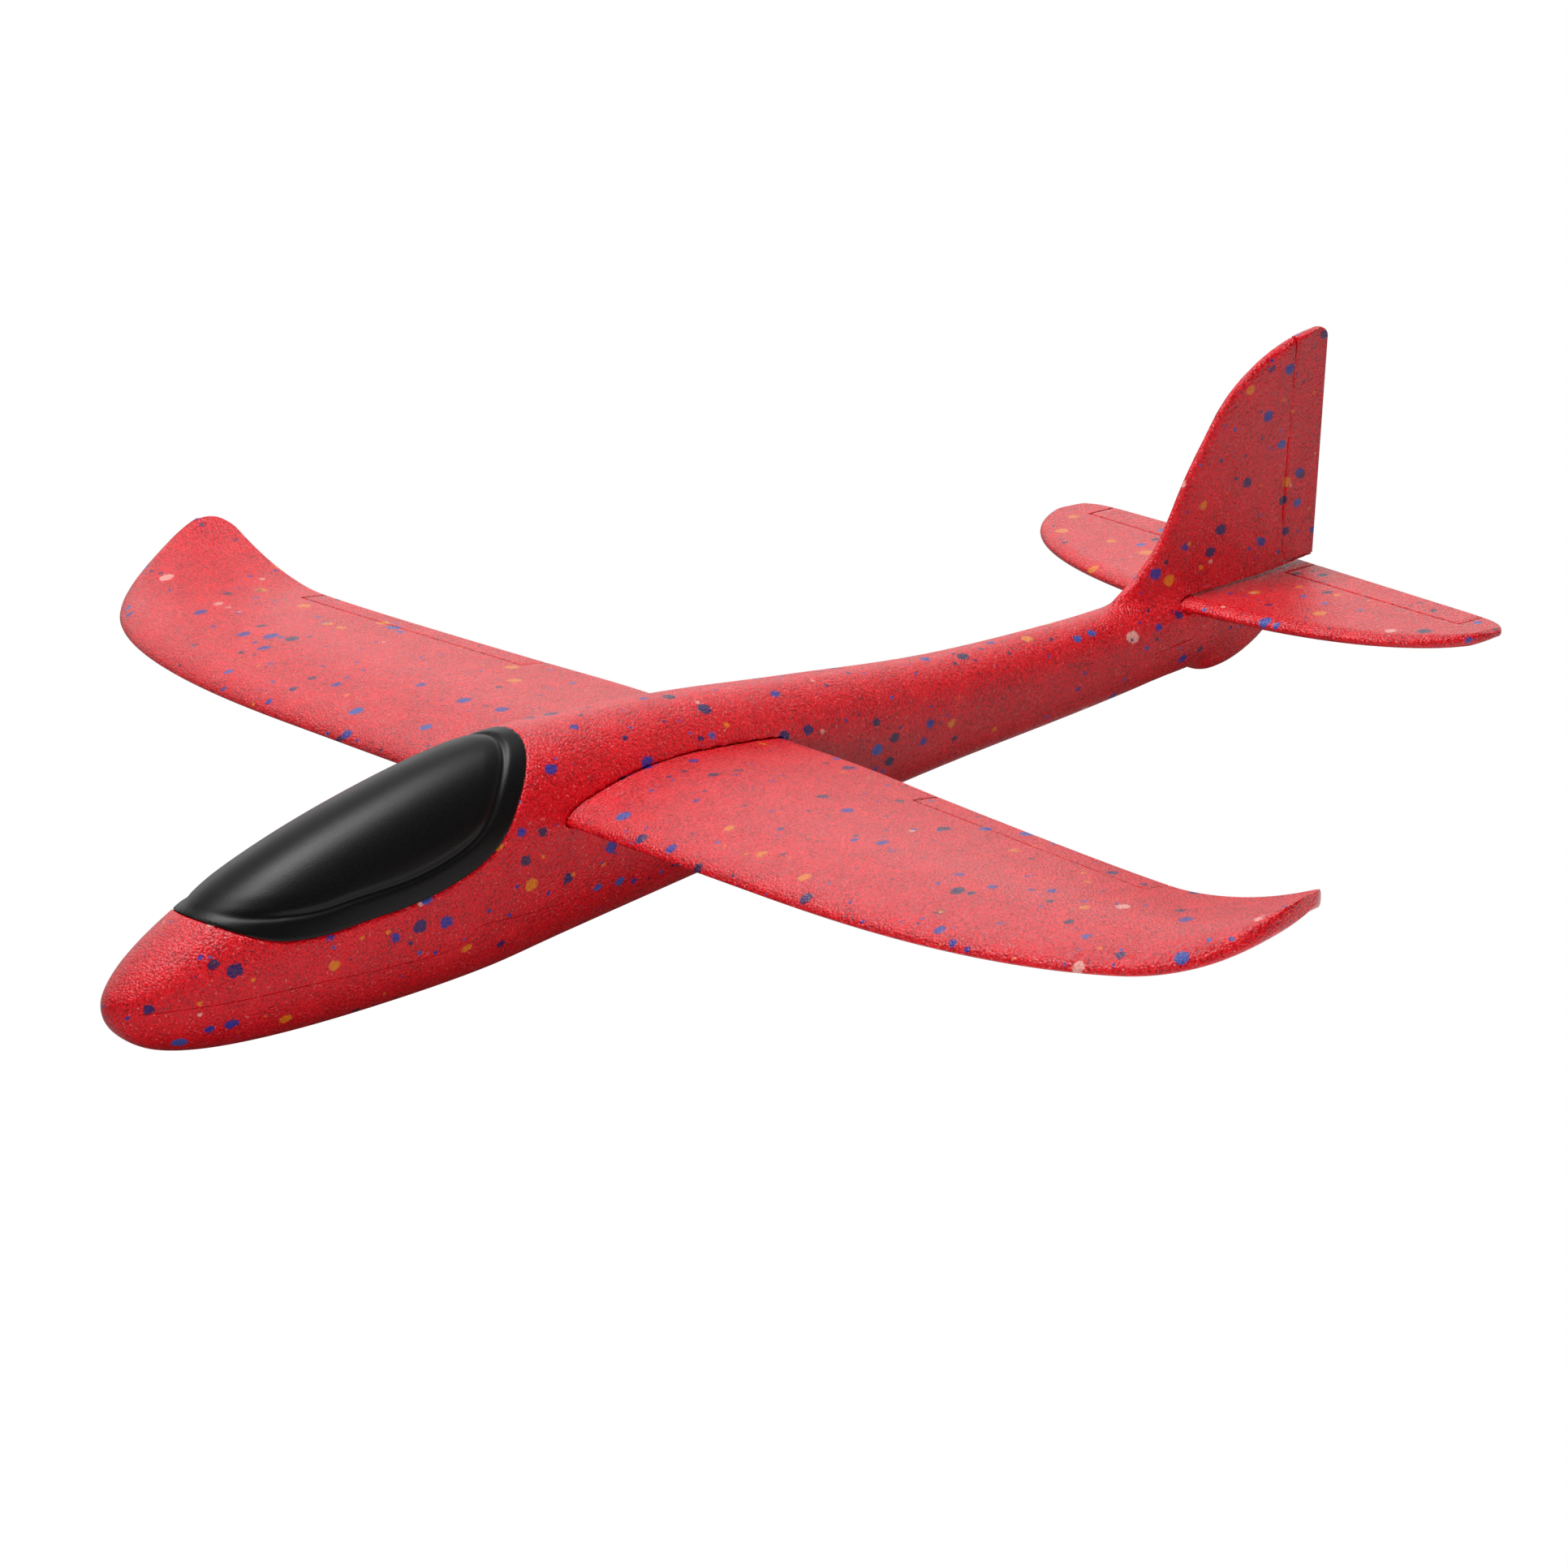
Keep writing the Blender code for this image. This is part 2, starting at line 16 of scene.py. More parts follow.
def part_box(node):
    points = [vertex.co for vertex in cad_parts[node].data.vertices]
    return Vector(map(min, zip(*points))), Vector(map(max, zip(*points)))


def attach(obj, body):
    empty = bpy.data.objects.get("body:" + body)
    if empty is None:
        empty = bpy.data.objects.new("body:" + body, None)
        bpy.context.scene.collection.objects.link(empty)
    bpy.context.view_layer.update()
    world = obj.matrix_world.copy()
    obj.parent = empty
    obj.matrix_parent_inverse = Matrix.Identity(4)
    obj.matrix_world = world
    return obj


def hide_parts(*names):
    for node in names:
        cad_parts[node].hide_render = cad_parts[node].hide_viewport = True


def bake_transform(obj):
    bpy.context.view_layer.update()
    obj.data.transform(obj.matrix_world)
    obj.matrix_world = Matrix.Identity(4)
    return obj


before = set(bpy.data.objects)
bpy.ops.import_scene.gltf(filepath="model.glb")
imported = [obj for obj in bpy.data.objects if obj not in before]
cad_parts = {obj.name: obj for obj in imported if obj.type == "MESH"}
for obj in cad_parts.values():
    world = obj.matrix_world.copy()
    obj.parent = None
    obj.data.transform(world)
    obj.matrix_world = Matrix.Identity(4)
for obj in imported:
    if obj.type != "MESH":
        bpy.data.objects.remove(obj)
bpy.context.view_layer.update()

MM = 0.001
GAP = 0.3 * MM
SLIT = 0.3 * MM
FLAP_BEVEL = math.radians(26)

# Fuselage: y, bottom, top, half width, height of the widest place
NOSE_Y = -242 * MM
NOSE_Z = 19.2 * MM
BODY_END_Y = 231 * MM
FULLNESS = 2.15
BELLY_Z = 0.0
HULL = [
    (-242.0, 19.2, 19.2, 0.0, 19.2),
    (-237.0, 10.4, 26.2, 8.0, 19.4),
    (-228.0, 5.1, 32.6, 13.1, 20.2),
    (-212.0, 1.6, 40.8, 17.8, 22.0),
    (-187.0, -0.2, 50.8, 21.8, 24.0),
    (-152.0, -0.5, 60.3, 24.0, 27.0),
    (-115.0, 0.7, 67.0, 24.2, 29.0),
    (-86.0, 3.8, 68.5, 23.3, 31.0),
    (-34.0, 9.0, 65.5, 20.3, 33.0),
    (17.0, 14.0, 59.8, 17.2, 35.0),
    (75.0, 19.2, 53.7, 14.0, 36.0),
    (132.0, 22.9, 52.0, 11.8, 37.5),
    (165.0, 25.6, 53.0, 10.3, 39.0),
    (200.0, 29.5, 54.5, 7.8, 42.0),
    (231.0, 46.0, 54.5, 3.0, 49.0),
]
SKID_HALF_WIDTH = 5.5 * MM
# y, bottom
KEEL = [
    (182.0, 27.8),
    (187.0, 25.0),
    (193.0, 23.8),
    (203.0, 25.2),
    (214.0, 29.8),
    (224.0, 37.0),
    (231.0, 44.0),
]
# y, z of the mould's parting line along each side, ahead of the wing and behind it
SEAMS = [
    [(-237, 19.2), (-228, 19.6), (-210, 19.3), (-186, 19.2), (-157, 17.8), (-137, 17.4), (-131, 19.5),
     (-127, 22.3), (-112, 21.8), (-88, 21.0), (-62, 21.5)],
    [(160, 37.8), (169, 38.5), (178, 39.1)],
]
SEAM_WIDTH = 0.34 * MM
SEAM_DEPTH = 0.3 * MM

# Canopy: y, height of its lower edge
CANOPY_THICK = 1.6 * MM
CANOPY_PROUD = 0.5 * MM
CANOPY_EDGE = [
    (-219.0, 43.0),
    (-212.0, 40.0),
    (-203.0, 36.0),
    (-194.5, 33.4),
    (-181.5, 32.5),
    (-168.5, 33.5),
    (-147.5, 35.0),
    (-131.0, 38.4),
    (-119.5, 43.0),
    (-112.5, 48.5),
    (-107.0, 54.5),
    (-100.0, 62.0),
    (-92.0, 71.0),
]
CANOPY_TOP_Z = 90 * MM
FLANGE_WIDTH = 7.2 * MM
FLANGE_PROUD = 0.1 * MM
FLANGE_FRONT = 0.25  # the flange's width at its front end, as a share of the rest
FLANGE_NARROWS = (-219 * MM, -190 * MM)
GROOVE_DEPTH = 0.75 * MM
GROOVE_WIDTH = 1.1 * MM
RIM_ROUND = 0.7 * MM
PEG_RADIUS = 2.0 * MM
PEG_LENGTH = 7.0 * MM
PEG_Y = (-200 * MM, -112 * MM)

# Wing
HALF_SPAN = 240 * MM
WING_LE_Y = -92 * MM
WING_TIP_Y = -14.5 * MM
WING_CHORD = 84 * MM
WING_STRAIGHT_X = 100 * MM
WING_TIP_POWER = 2.48
TIP_KEEP = 0.7
TIP_CORNER = 9 * MM
TIP_THICKER = 3 * MM
WING_LE_Z = 45.5 * MM
WING_TE_Z = 47.4 * MM
WING_RISE = 3.5 * MM
WING_THICK = 6.6 * MM
WING_LE_THICK = 4.4 * MM
WING_TE_THICK = 2.4 * MM
TIP_ROUND = 2 * MM
TIP_CURL_X = 185 * MM
TIP_CURL = 12.7 * MM
TIP_CURL_SWEEP = 0.55
# x, trailing edge y
WING_TE = [
    (0.0, -1.8),
    (50.0, -2.2),
    (90.0, -5.5),
    (150.0, -9.5),
    (185.0, -10.5),
    (205.0, -9.0),
    (225.0, -7.0),
    (240.0, -5.5),
]
AILERON_IN = Vector((85 * MM, -15.5 * MM))
AILERON_OUT = Vector((183 * MM, -20.8 * MM))

# Tailplane
TAIL_HALF_SPAN = 92 * MM
TAIL_Z = 49.2 * MM
TAIL_THICK = 4.0 * MM
TAIL_LE_Y = 174.5 * MM
TAIL_SWEEP = 0.10
TAIL_TE_Y = 236.5 * MM
TAIL_TE_SWEEP = 0.03
TAIL_TIP_POWER = 3.0
ELEVATOR_IN = Vector((6.5 * MM, 222 * MM))
ELEVATOR_OUT = Vector((80 * MM, 222 * MM))

# Fin: z, leading edge y
FIN_THICK = 5.0 * MM
FIN_TOP_THICK = 4.0 * MM
FIN_TOP_Z = 125.5 * MM
FIN_ROOT_Z = 50 * MM
FIN_LE = [
    (44.0, 150.0),
    (54.0, 152.0),
    (59.0, 160.4),
    (68.5, 170.8),
    (87.0, 182.4),
    (97.5, 190.0),
    (110.0, 200.5),
    (119.0, 214.5),
    (124.0, 229.0),
    (125.5, 241.0),
]
FIN_TE_LOW = (240.5 * MM, 48.5 * MM)
FIN_TE_HIGH = (245.5 * MM, 122.0 * MM)
RUDDER_LOW = (225.5 * MM, 53.5 * MM)
RUDDER_HIGH = (230.5 * MM, 125.5 * MM)
RUDDER_BOTTOM_Z = TAIL_Z + TAIL_THICK / 2 + 0.8 * MM

# Fineness of the surfaces
RING_POINTS = 96
HULL_STATIONS = 120
ROUGH_VOXEL = 0.9 * MM  # the body's first skin, which its fillets grow on
FINE_VOXEL = 0.75 * MM
FILLET_ROUNDS = 120
END_STEPS = 6  # steps round each edge of a blade's outline
CHORD_STEPS = 14
FLAP_STEPS = 8
CUT_ROUND = 0.5 * MM  # rounding of the foam's edges at a flap's cut
TE_ROUND = 1.0 * MM
WEB_LAP = 0.06 * MM  # how far a hinge web sinks into the foam on each side
WEB_DEPTH = 0.45  # depth of a hinge web's top under the skin, as a share of the thickness
CANOPY_STEPS = 200
CANOPY_POINTS = 300

# Floor and backdrop. Both are plain white to the camera, and dimmer to all other rays.
FLOOR_GLOW = 1.0
POOL_LIGHT = 1.2
POOL_REACH = (0.03, 0.16)  # x over which the pool of light on the floor sets in, on the left side
BACKDROP_LIGHT = 1.25
BACKDROP_SPREAD = (0.4, 0.85)  # how far round the backdrop reaches, as cosines of the angle to its middle
BACKDROP_TOP = (0.38, 0.62)  # heights over which the backdrop fades, as sines of the elevation
ROOM_LIGHT = (0.03, 0.1)  # light on the camera's side and on the far side

# Camera
CAMERA_PLACE = Vector((1.52988, -1.41523, 0.73979))
CAMERA_AZIMUTH = math.radians(46.961)
CAMERA_ELEVATION = math.radians(18.810)
CAMERA_ROLL = math.radians(0.156)
CAMERA_LENS = 170.76

# Soft boxes: name, direction from the glider, distance, width, watts, whether reflections show it
LIGHTS = [
    ("overhead box", (-0.15, 0.03, 0.99), 1.3, 0.5, 16, True),
    ("edge strip", (-0.37, -0.5, 0.83), 1.5, 0.2, 2.5, True),
    ("front fill", (0.8, -0.6, 0.1), 2.0, 0.9, 30, False),
]


# Numbers and outlines


def smooth(table, at, column=1, warp=None):
    """Value at a place on the smooth curve through a table's (place, value, ...) rows, all in mm."""
    bend = warp or (lambda place: place)
    places = [bend(row[0]) for row in table]
    values = [row[column] for row in table]
    place = bend(at)
    last = len(table) - 1
    if place <= places[0]:
        return values[0]
    if place >= places[last]:
        return values[last]
    i = max(k for k in range(last) if places[k] <= place)

    def slope(k):
        low, high = max(k - 1, 0), min(k + 1, last)
        return (values[high] - values[low]) / (places[high] - places[low])

    span = places[i + 1] - places[i]
    t = (place - places[i]) / span
    return (
        (2 * t**3 - 3 * t**2 + 1) * values[i]
        + (t**3 - 2 * t**2 + t) * span * slope(i)
        + (3 * t**2 - 2 * t**3) * values[i + 1]
        + (t**3 - t**2) * span * slope(i + 1)
    )


def ease(low, high, value):
    """0 up to low, 1 from high on, and a smooth rise between."""
    t = min(max((value - low) / (high - low), 0.0), 1.0)
    return t * t * (3 - 2 * t)


def spread(first, last, steps):
    return [first + (last - first) * k / steps for k in range(steps + 1)]


def from_nose(y_mm):
    return math.sqrt(max(y_mm - NOSE_Y / MM, 0.0))


def hull_value(y, column):
    return smooth(HULL, y / MM, column, from_nose) * MM


def power(value, exponent):
    return math.copysign(abs(value) ** exponent, value)


def hull_ring(y, offset=0.0):
    """Cross-section of the fuselage at y, grown outwards by offset."""
    bottom, top, half, wide = (hull_value(y, column) for column in (1, 2, 3, 4))
    ring = []
    for k in range(RING_POINTS):
        angle = 2 * math.pi * k / RING_POINTS
        x = power(math.cos(angle), 2 / FULLNESS) * (half + offset)
        reach = (top - wide if math.sin(angle) > 0 else wide - bottom) + offset
        z = wide + power(math.sin(angle), 2 / FULLNESS) * reach
        ring.append(Vector((x, y, max(z, BELLY_Z))))
    return ring


def hull_side(y, z):
    """x of the fuselage's left skin at (y, z)."""
    bottom, top, half, wide = (hull_value(y, column) for column in (1, 2, 3, 4))
    reach = top - wide if z > wide else wide - bottom
    share = min(abs(z - wide) / max(reach, 1e-6), 1.0)
    return half * (1 - share**FULLNESS) ** (1 / FULLNESS)


def hull_stations():
    """Places along the fuselage, closer together at the round nose."""
    steps = spread(from_nose(NOSE_Y / MM + 0.15), from_nose(BODY_END_Y / MM), HULL_STATIONS)
    return [NOSE_Y + step**2 * MM for step in steps]


# Mesh tools


def new_object(name, mesh):
    thing = bpy.data.objects.new(name, mesh)
    bpy.context.scene.collection.objects.link(thing)
    return thing


def mesh_from(name, bm):
    bmesh.ops.recalc_face_normals(bm, faces=bm.faces)
    mesh = bpy.data.meshes.new(name)
    bm.to_mesh(mesh)
    bm.free()
    return mesh


def loft(name, rings, tip=None, weld=0.0):
    """Skin over rings of points with flat ends, or with a point called tip before the first ring."""
    bm = bmesh.new()
    rows = [[bm.verts.new(point) for point in ring] for ring in rings]
    count = len(rows[0])
    for low, high in zip(rows, rows[1:]):
        for k in range(count):
            n = (k + 1) % count
            bm.faces.new((low[k], low[n], high[n], high[k]))
    if tip is None:
        bm.faces.new(rows[0])
    else:
        peak = bm.verts.new(tip)
        for k in range(count):
            bm.faces.new((rows[0][k], rows[0][(k + 1) % count], peak))
    bm.faces.new(rows[-1])
    if weld:
        bmesh.ops.remove_doubles(bm, verts=bm.verts, dist=weld)
        bmesh.ops.dissolve_degenerate(bm, edges=bm.edges, dist=weld)
    return new_object(name, mesh_from(name, bm))


def prism(name, outline, direction):
    """Solid swept straight along direction from a flat outline of points."""
    bm = bmesh.new()
    face = bm.faces.new([bm.verts.new(point) for point in outline])
    swept = bmesh.ops.extrude_face_region(bm, geom=[face])
    moved = [item for item in swept["geom"] if isinstance(item, bmesh.types.BMVert)]
    bmesh.ops.translate(bm, verts=moved, vec=direction)
    return new_object(name, mesh_from(name, bm))


def block(name, low, high):
    bm = bmesh.new()
    bmesh.ops.create_cube(bm, size=1)
    low, high = Vector(low), Vector(high)
    bmesh.ops.scale(bm, vec=high - low, verts=bm.verts)
    bmesh.ops.translate(bm, vec=(high + low) / 2, verts=bm.verts)
    return new_object(name, mesh_from(name, bm))


def peg(name, centre, radius, length):
    bm = bmesh.new()
    bmesh.ops.create_cone(bm, cap_ends=True, segments=32, radius1=radius, radius2=radius, depth=length)
    bmesh.ops.translate(bm, vec=centre, verts=bm.verts)
    return new_object(name, mesh_from(name, bm))


def settle(thing):
    """Applies an object's modifiers."""
    bpy.context.view_layer.update()
    seen = thing.evaluated_get(bpy.context.evaluated_depsgraph_get())
    made = bpy.data.meshes.new_from_object(seen)
    thing.modifiers.clear()
    thing.data = made
    return thing


def carve(thing, tool, operation="DIFFERENCE"):
    """Cuts thing with tool, or joins or crosses them, and removes tool."""
    step = thing.modifiers.new(operation, "BOOLEAN")
    step.operation = operation
    step.solver = "MANIFOLD"
    step.object = tool
    settle(thing)
    bpy.data.objects.remove(tool, do_unlink=True)
    return thing


def copy_of(thing, name):
    return new_object(name, thing.data.copy())


def remesh(thing, size):
    step = thing.modifiers.new("Skin", "REMESH")
    step.mode = "VOXEL"
    step.voxel_size = size
    return settle(thing)


def read_points(mesh):
    points = np.empty(len(mesh.vertices) * 3)
    mesh.vertices.foreach_get("co", points)
    return points.reshape(-1, 3)


def write_points(mesh, points):
    mesh.vertices.foreach_set("co", points.astype(np.float32).ravel())
    mesh.update()


def neighbour_pull(mesh):
    """A function that gives each point's way to the middle of its neighbours."""
    ends = np.empty(len(mesh.edges) * 2, np.int64)
    mesh.edges.foreach_get("vertices", ends)
    a, b = ends.reshape(-1, 2).T
    count = len(mesh.vertices)
    degree = np.maximum(np.bincount(np.concatenate((a, b)), minlength=count), 1)[:, None]

    def pull(points):
        total = np.empty_like(points)
        for axis in range(3):
            column = points[:, axis]
            total[:, axis] = np.bincount(a, column[b], count) + np.bincount(b, column[a], count)
        return total / degree - points

    return pull


def grow_fillets(thing, rounds, after_y):
    """Fills the inside corners of a mesh behind after_y, as a mould's fillets do."""
    mesh = thing.data
    points = read_points(mesh)
    pull = neighbour_pull(mesh)
    behind = points[:, 1] > after_y
    for turn in range(rounds):
        if turn % 10 == 0:
            write_points(mesh, points)
            normals = np.empty(len(points) * 3, np.float32)
            mesh.vertex_normals.foreach_get("vector", normals)
            normals = normals.reshape(-1, 3)
        push = np.maximum((pull(points) * normals).sum(1), 0.0) * behind
        points = points + normals * push[:, None] * 0.8
    write_points(mesh, points)


def relax(thing, rounds, shrink=0.5, swell=-0.53):
    """Evens out the steps that a voxel skin leaves, and keeps its size."""
    mesh = thing.data
    points = read_points(mesh)
    pull = neighbour_pull(mesh)
    for _ in range(rounds):
        for strength in (shrink, swell):
            points = points + pull(points) * strength
    write_points(mesh, points)


def shade(thing, sharp_degrees=50):
    thing.data.shade_smooth()
    thing.data.set_sharp_from_angle(angle=math.radians(sharp_degrees))


# Blades: the wing, the tailplane and the fin are thin, with a round leading edge


def swell(share):
    return math.sin(math.pi * min(share / 0.8, 1.0)) ** 1.5


def blade_thickness(share, thick, le_thick, te_thick):
    return le_thick + (te_thick - le_thick) * share + (thick - le_thick) * swell(share)


def rim_share(at, end):
    return math.sqrt(max(1 - max(at - (end - TIP_ROUND), 0.0) / TIP_ROUND, 0.0))


class Wing:
    """A blade's outline at a place x across it, as functions of y along it. Its nose is drawn out by
    nose_top along the upper skin and nose_under along the lower one, and its foremost point lies
    nose_low below its middle."""

    nose_top = 9.5 * MM
    nose_under = 3.4 * MM
    nose_low = 0.9 * MM

    def ends(self, x):
        share = max(abs(x) - WING_STRAIGHT_X, 0.0) / (HALF_SPAN - WING_STRAIGHT_X)
        bulge = (1 - min(share, 1.0) ** WING_TIP_POWER) ** (1 / WING_TIP_POWER)
        le = WING_TIP_Y - (WING_TIP_Y - WING_LE_Y) * bulge
        over = max(abs(x) - (HALF_SPAN - TIP_CORNER), 0.0) / TIP_CORNER
        corner = TIP_CORNER * (1 - math.sqrt(max(1 - over**2, 0.0)))
        return le, smooth(WING_TE, abs(x) / MM) * MM - corner

    def share(self, x, y):
        le, te = self.ends(x)
        return min(max((y - le) / (te - le), 0.0), 1.0)

    def middle(self, x, y):
        le, te = self.ends(x)
        chord = (te - le) / WING_CHORD
        share = self.share(x, y)
        low = WING_TE_Z - (WING_TE_Z - WING_LE_Z) * chord
        start = TIP_CURL_X + TIP_CURL_SWEEP * max(te - y, 0.0)
        curl = max(abs(x) - start, 0.0) / (HALF_SPAN - TIP_CURL_X)
        arch = 4 * WING_RISE * chord * share * (1 - share)
        return low + (WING_TE_Z - low) * share + arch + TIP_CURL * curl**2

    def thickness(self, x, y):
        round_off = TIP_KEEP + (1 - TIP_KEEP) * rim_share(abs(x), HALF_SPAN)
        thicker = TIP_THICKER * max(abs(x) - TIP_CURL_X, 0.0) / (HALF_SPAN - TIP_CURL_X)
        te_thick = WING_TE_THICK + thicker
        return blade_thickness(self.share(x, y), WING_THICK, WING_LE_THICK, te_thick) * round_off

    def place(self, x, y, up):
        return Vector((x, y, up))


class Tail(Wing):
    nose_top = 6.0 * MM
    nose_under = 2.4 * MM
    nose_low = 0.5 * MM

    def ends(self, x):
        share = min(abs(x) / TAIL_HALF_SPAN, 1.0)
        tip = TAIL_TE_Y - 12 * MM
        bulge = math.sqrt(1 - share**TAIL_TIP_POWER)
        le = tip - (tip - TAIL_LE_Y - TAIL_SWEEP * abs(x)) * bulge
        return le, TAIL_TE_Y - TAIL_TE_SWEEP * abs(x) - 6 * MM * share**24

    def middle(self, x, y):
        return TAIL_Z

    def thickness(self, x, y):
        thick = TAIL_THICK * (0.3 + 0.7 * rim_share(abs(x), TAIL_HALF_SPAN))
        return thick * (1 - 0.4 * self.share(x, y))


class Fin(Wing):
    """The fin stands up: its place is z, and its thickness lies along x."""

    nose_top = 5.5 * MM
    nose_under = 5.5 * MM
    nose_low = 0.0

    def ends(self, z):
        (low_y, low_z), (high_y, high_z) = FIN_TE_LOW, FIN_TE_HIGH
        straight = low_y + (high_y - low_y) * (z - low_z) / (high_z - low_z)
        over = max(z - high_z, 0.0) / (FIN_TOP_Z - high_z)
        te = min(straight, high_y) - 4.5 * MM * (1 - math.sqrt(max(1 - over**2, 0.0)))
        return smooth(FIN_LE, z / MM) * MM, te

    def middle(self, z, y):
        return 0.0

    def thickness(self, z, y):
        share = (z - FIN_ROOT_Z) / (FIN_TOP_Z - FIN_ROOT_Z)
        thick = FIN_THICK + (FIN_TOP_THICK - FIN_THICK) * share
        along = self.share(z, y)
        return thick * (0.3 + 0.7 * rim_share(z, FIN_TOP_Z)) * (0.85 + 0.3 * swell(along) - 0.35 * along)

    def place(self, z, y, up):
        return Vector((up, y, z))


def end_steps(zone):
    """Distances from an edge that share out its quarter circle evenly."""
    return [zone * (1 - math.cos(math.pi / 2 * k / END_STEPS)) for k in range(END_STEPS + 1)]


def drop(distance, zone, depth):
    """How far a rounded edge falls below the skin at a distance from its end."""
    if distance >= zone:
        return 0.0
    return depth * (1 - math.sqrt(max(1 - (1 - distance / zone) ** 2, 0.0)))


def skin_point(blade, at, y, side, fall=0.0, grow=0.0):
    up = blade.middle(at, y) + side * (blade.thickness(at, y) / 2 - fall + grow)
    return blade.place(at, y, up)


def nose_zone(blade, at, side):
    """How far the rounding of a blade's nose runs back along one skin."""
    le, te = blade.ends(at)
    return min(blade.nose_top if side > 0 else blade.nose_under, 0.35 * (te - le))


def blade_side(blade, at, side, split, cut, edge_fall=0.0):
    """Points along one skin of a blade from its leading edge to its trailing edge. The row has a fixed
    number of points ahead of split. Behind it they run on to the trailing edge, or, with cut, down the
    face that is left where the flap was cut off. edge_fall lowers the skin behind split."""
    le, te = blade.ends(at)
    zone = nose_zone(blade, at, side)
    split = min(max(split, le + zone * 1.5), te - min(TE_ROUND * 0.5, 0.2 * (te - le)))
    low = min(blade.nose_low, 0.3 * blade.thickness(at, le))
    points = []
    for distance in end_steps(zone):
        depth = blade.thickness(at, le + distance) / 2 + side * low
        points.append(skin_point(blade, at, le + distance, side, drop(distance, zone, depth)))
    for y in spread(le + zone, split - CUT_ROUND, CHORD_STEPS)[1:-1]:
        points.append(skin_point(blade, at, y, side))
    for distance in reversed(end_steps(CUT_ROUND)):
        fall = drop(distance, CUT_ROUND, CUT_ROUND) if cut else 0.0
        points.append(skin_point(blade, at, split - distance, side, fall))
    behind = FLAP_STEPS + END_STEPS
    if cut:
        half = blade.thickness(at, split) / 2
        for k in range(1, behind + 1):
            fall = CUT_ROUND + (half - CUT_ROUND) * k / behind
            points.append(skin_point(blade, at, split, side, fall))
        return points
    round_te = min(TE_ROUND, 0.45 * (te - split))
    depth = 0.42 * blade.thickness(at, te)
    for y in spread(split, te - round_te, FLAP_STEPS)[1:-1]:
        points.append(skin_point(blade, at, y, side, edge_fall))
    for distance in reversed(end_steps(round_te)):
        fall = drop(distance, round_te, depth)
        points.append(skin_point(blade, at, te - distance, side, max(fall, edge_fall)))
    return points


def blade_ring(blade, at, split, cut=False, edge_fall=0.0):
    top = blade_side(blade, at, 1, split, cut, edge_fall)
    under = blade_side(blade, at, -1, split, cut, edge_fall)
    return list(reversed(top)) + under[1:]


def hinge_y(x, inner, outer):
    share = (abs(x) - inner.x) / (outer.x - inner.x)
    return inner.y + (outer.y - inner.y) * share


def blade_with_gaps(name, blade, inner, outer, half_span, steps):
    """A wing or tailplane, cut away where its two flaps are."""
    near, far, tip = steps
    rings = []

    def station(x, cut=False, fall=0.0):
        hinge = hinge_y(min(max(abs(x), inner.x), outer.x), inner, outer)
        split = hinge - GAP / 2
        return blade_ring(blade, x, split, cut, fall)

    half = []
    for x in spread(0.0, inner.x - SLIT, near)[1:]:
        half.append((x, False, 0.0))
    half += [(inner.x - SLIT / 3, False, 0.05 * MM), (inner.x, False, CUT_ROUND)]
    for x in spread(inner.x, outer.x, far):
        half.append((x, True, 0.0))
    half += [(outer.x, False, CUT_ROUND), (outer.x + SLIT / 3, False, 0.05 * MM)]
    for k in range(tip + 1):
        x = outer.x + SLIT + (half_span * 0.9997 - outer.x - SLIT) * math.sin(math.pi / 2 * k / tip)
        half.append((x, False, 0.0))
    for x, cut, fall in reversed(half):
        rings.append(station(-x, cut, fall))
    rings.append(station(0.0))
    for x, cut, fall in half:
        rings.append(station(x, cut, fall))
    made = loft(name, rings, weld=1e-7)
    shade(made, 35)
    return made


def flap_ring(blade, x, hinge):
    """Outline of a flap whose front slants aft from the hinge line on the upper skin."""
    te = blade.ends(x)[1]
    front = hinge + GAP / 2
    lean = math.tan(FLAP_BEVEL) * blade.thickness(x, hinge)
    sides = []
    for side, start in ((1, front), (-1, front + lean)):
        points = []
        for distance in end_steps(CUT_ROUND):
            fall = drop(distance, CUT_ROUND, CUT_ROUND)
            points.append(skin_point(blade, x, start + distance, side, fall))
        for y in spread(start + CUT_ROUND, te - TE_ROUND, FLAP_STEPS + 4)[1:-1]:
            points.append(skin_point(blade, x, y, side))
        depth = 0.42 * blade.thickness(x, te)
        for distance in reversed(end_steps(TE_ROUND)):
            points.append(skin_point(blade, x, te - distance, side, drop(distance, TE_ROUND, depth)))
        sides.append(points)
    return list(reversed(sides[0])) + sides[1]


def shrink_ring(ring, amount):
    """The ring pulled in towards its middle line, for a flap's rounded ends."""
    made = []
    for k, point in enumerate(ring):
        gap = ring[len(ring) - 1 - k] - point
        made.append(point + gap * min(amount / max(gap.length, 1e-9), 0.45))
    return made


def make_flap(name, blade, inner, outer, side, steps):
    rings = []
    first, last = inner.x + SLIT, outer.x - SLIT
    places = [(first, 1.0), (first + CUT_ROUND * 0.3, 0.3)]
    places += [(x, 0.0) for x in spread(first + CUT_ROUND, last - CUT_ROUND, steps)]
    places += [(last - CUT_ROUND * 0.3, 0.3), (last, 1.0)]
    for x, pinch in places:
        ring = flap_ring(blade, side * x, hinge_y(x, inner, outer))
        rings.append(shrink_ring(ring, CUT_ROUND * pinch) if pinch else ring)
    made = loft(name, rings)
    shade(made, 35)
    return made


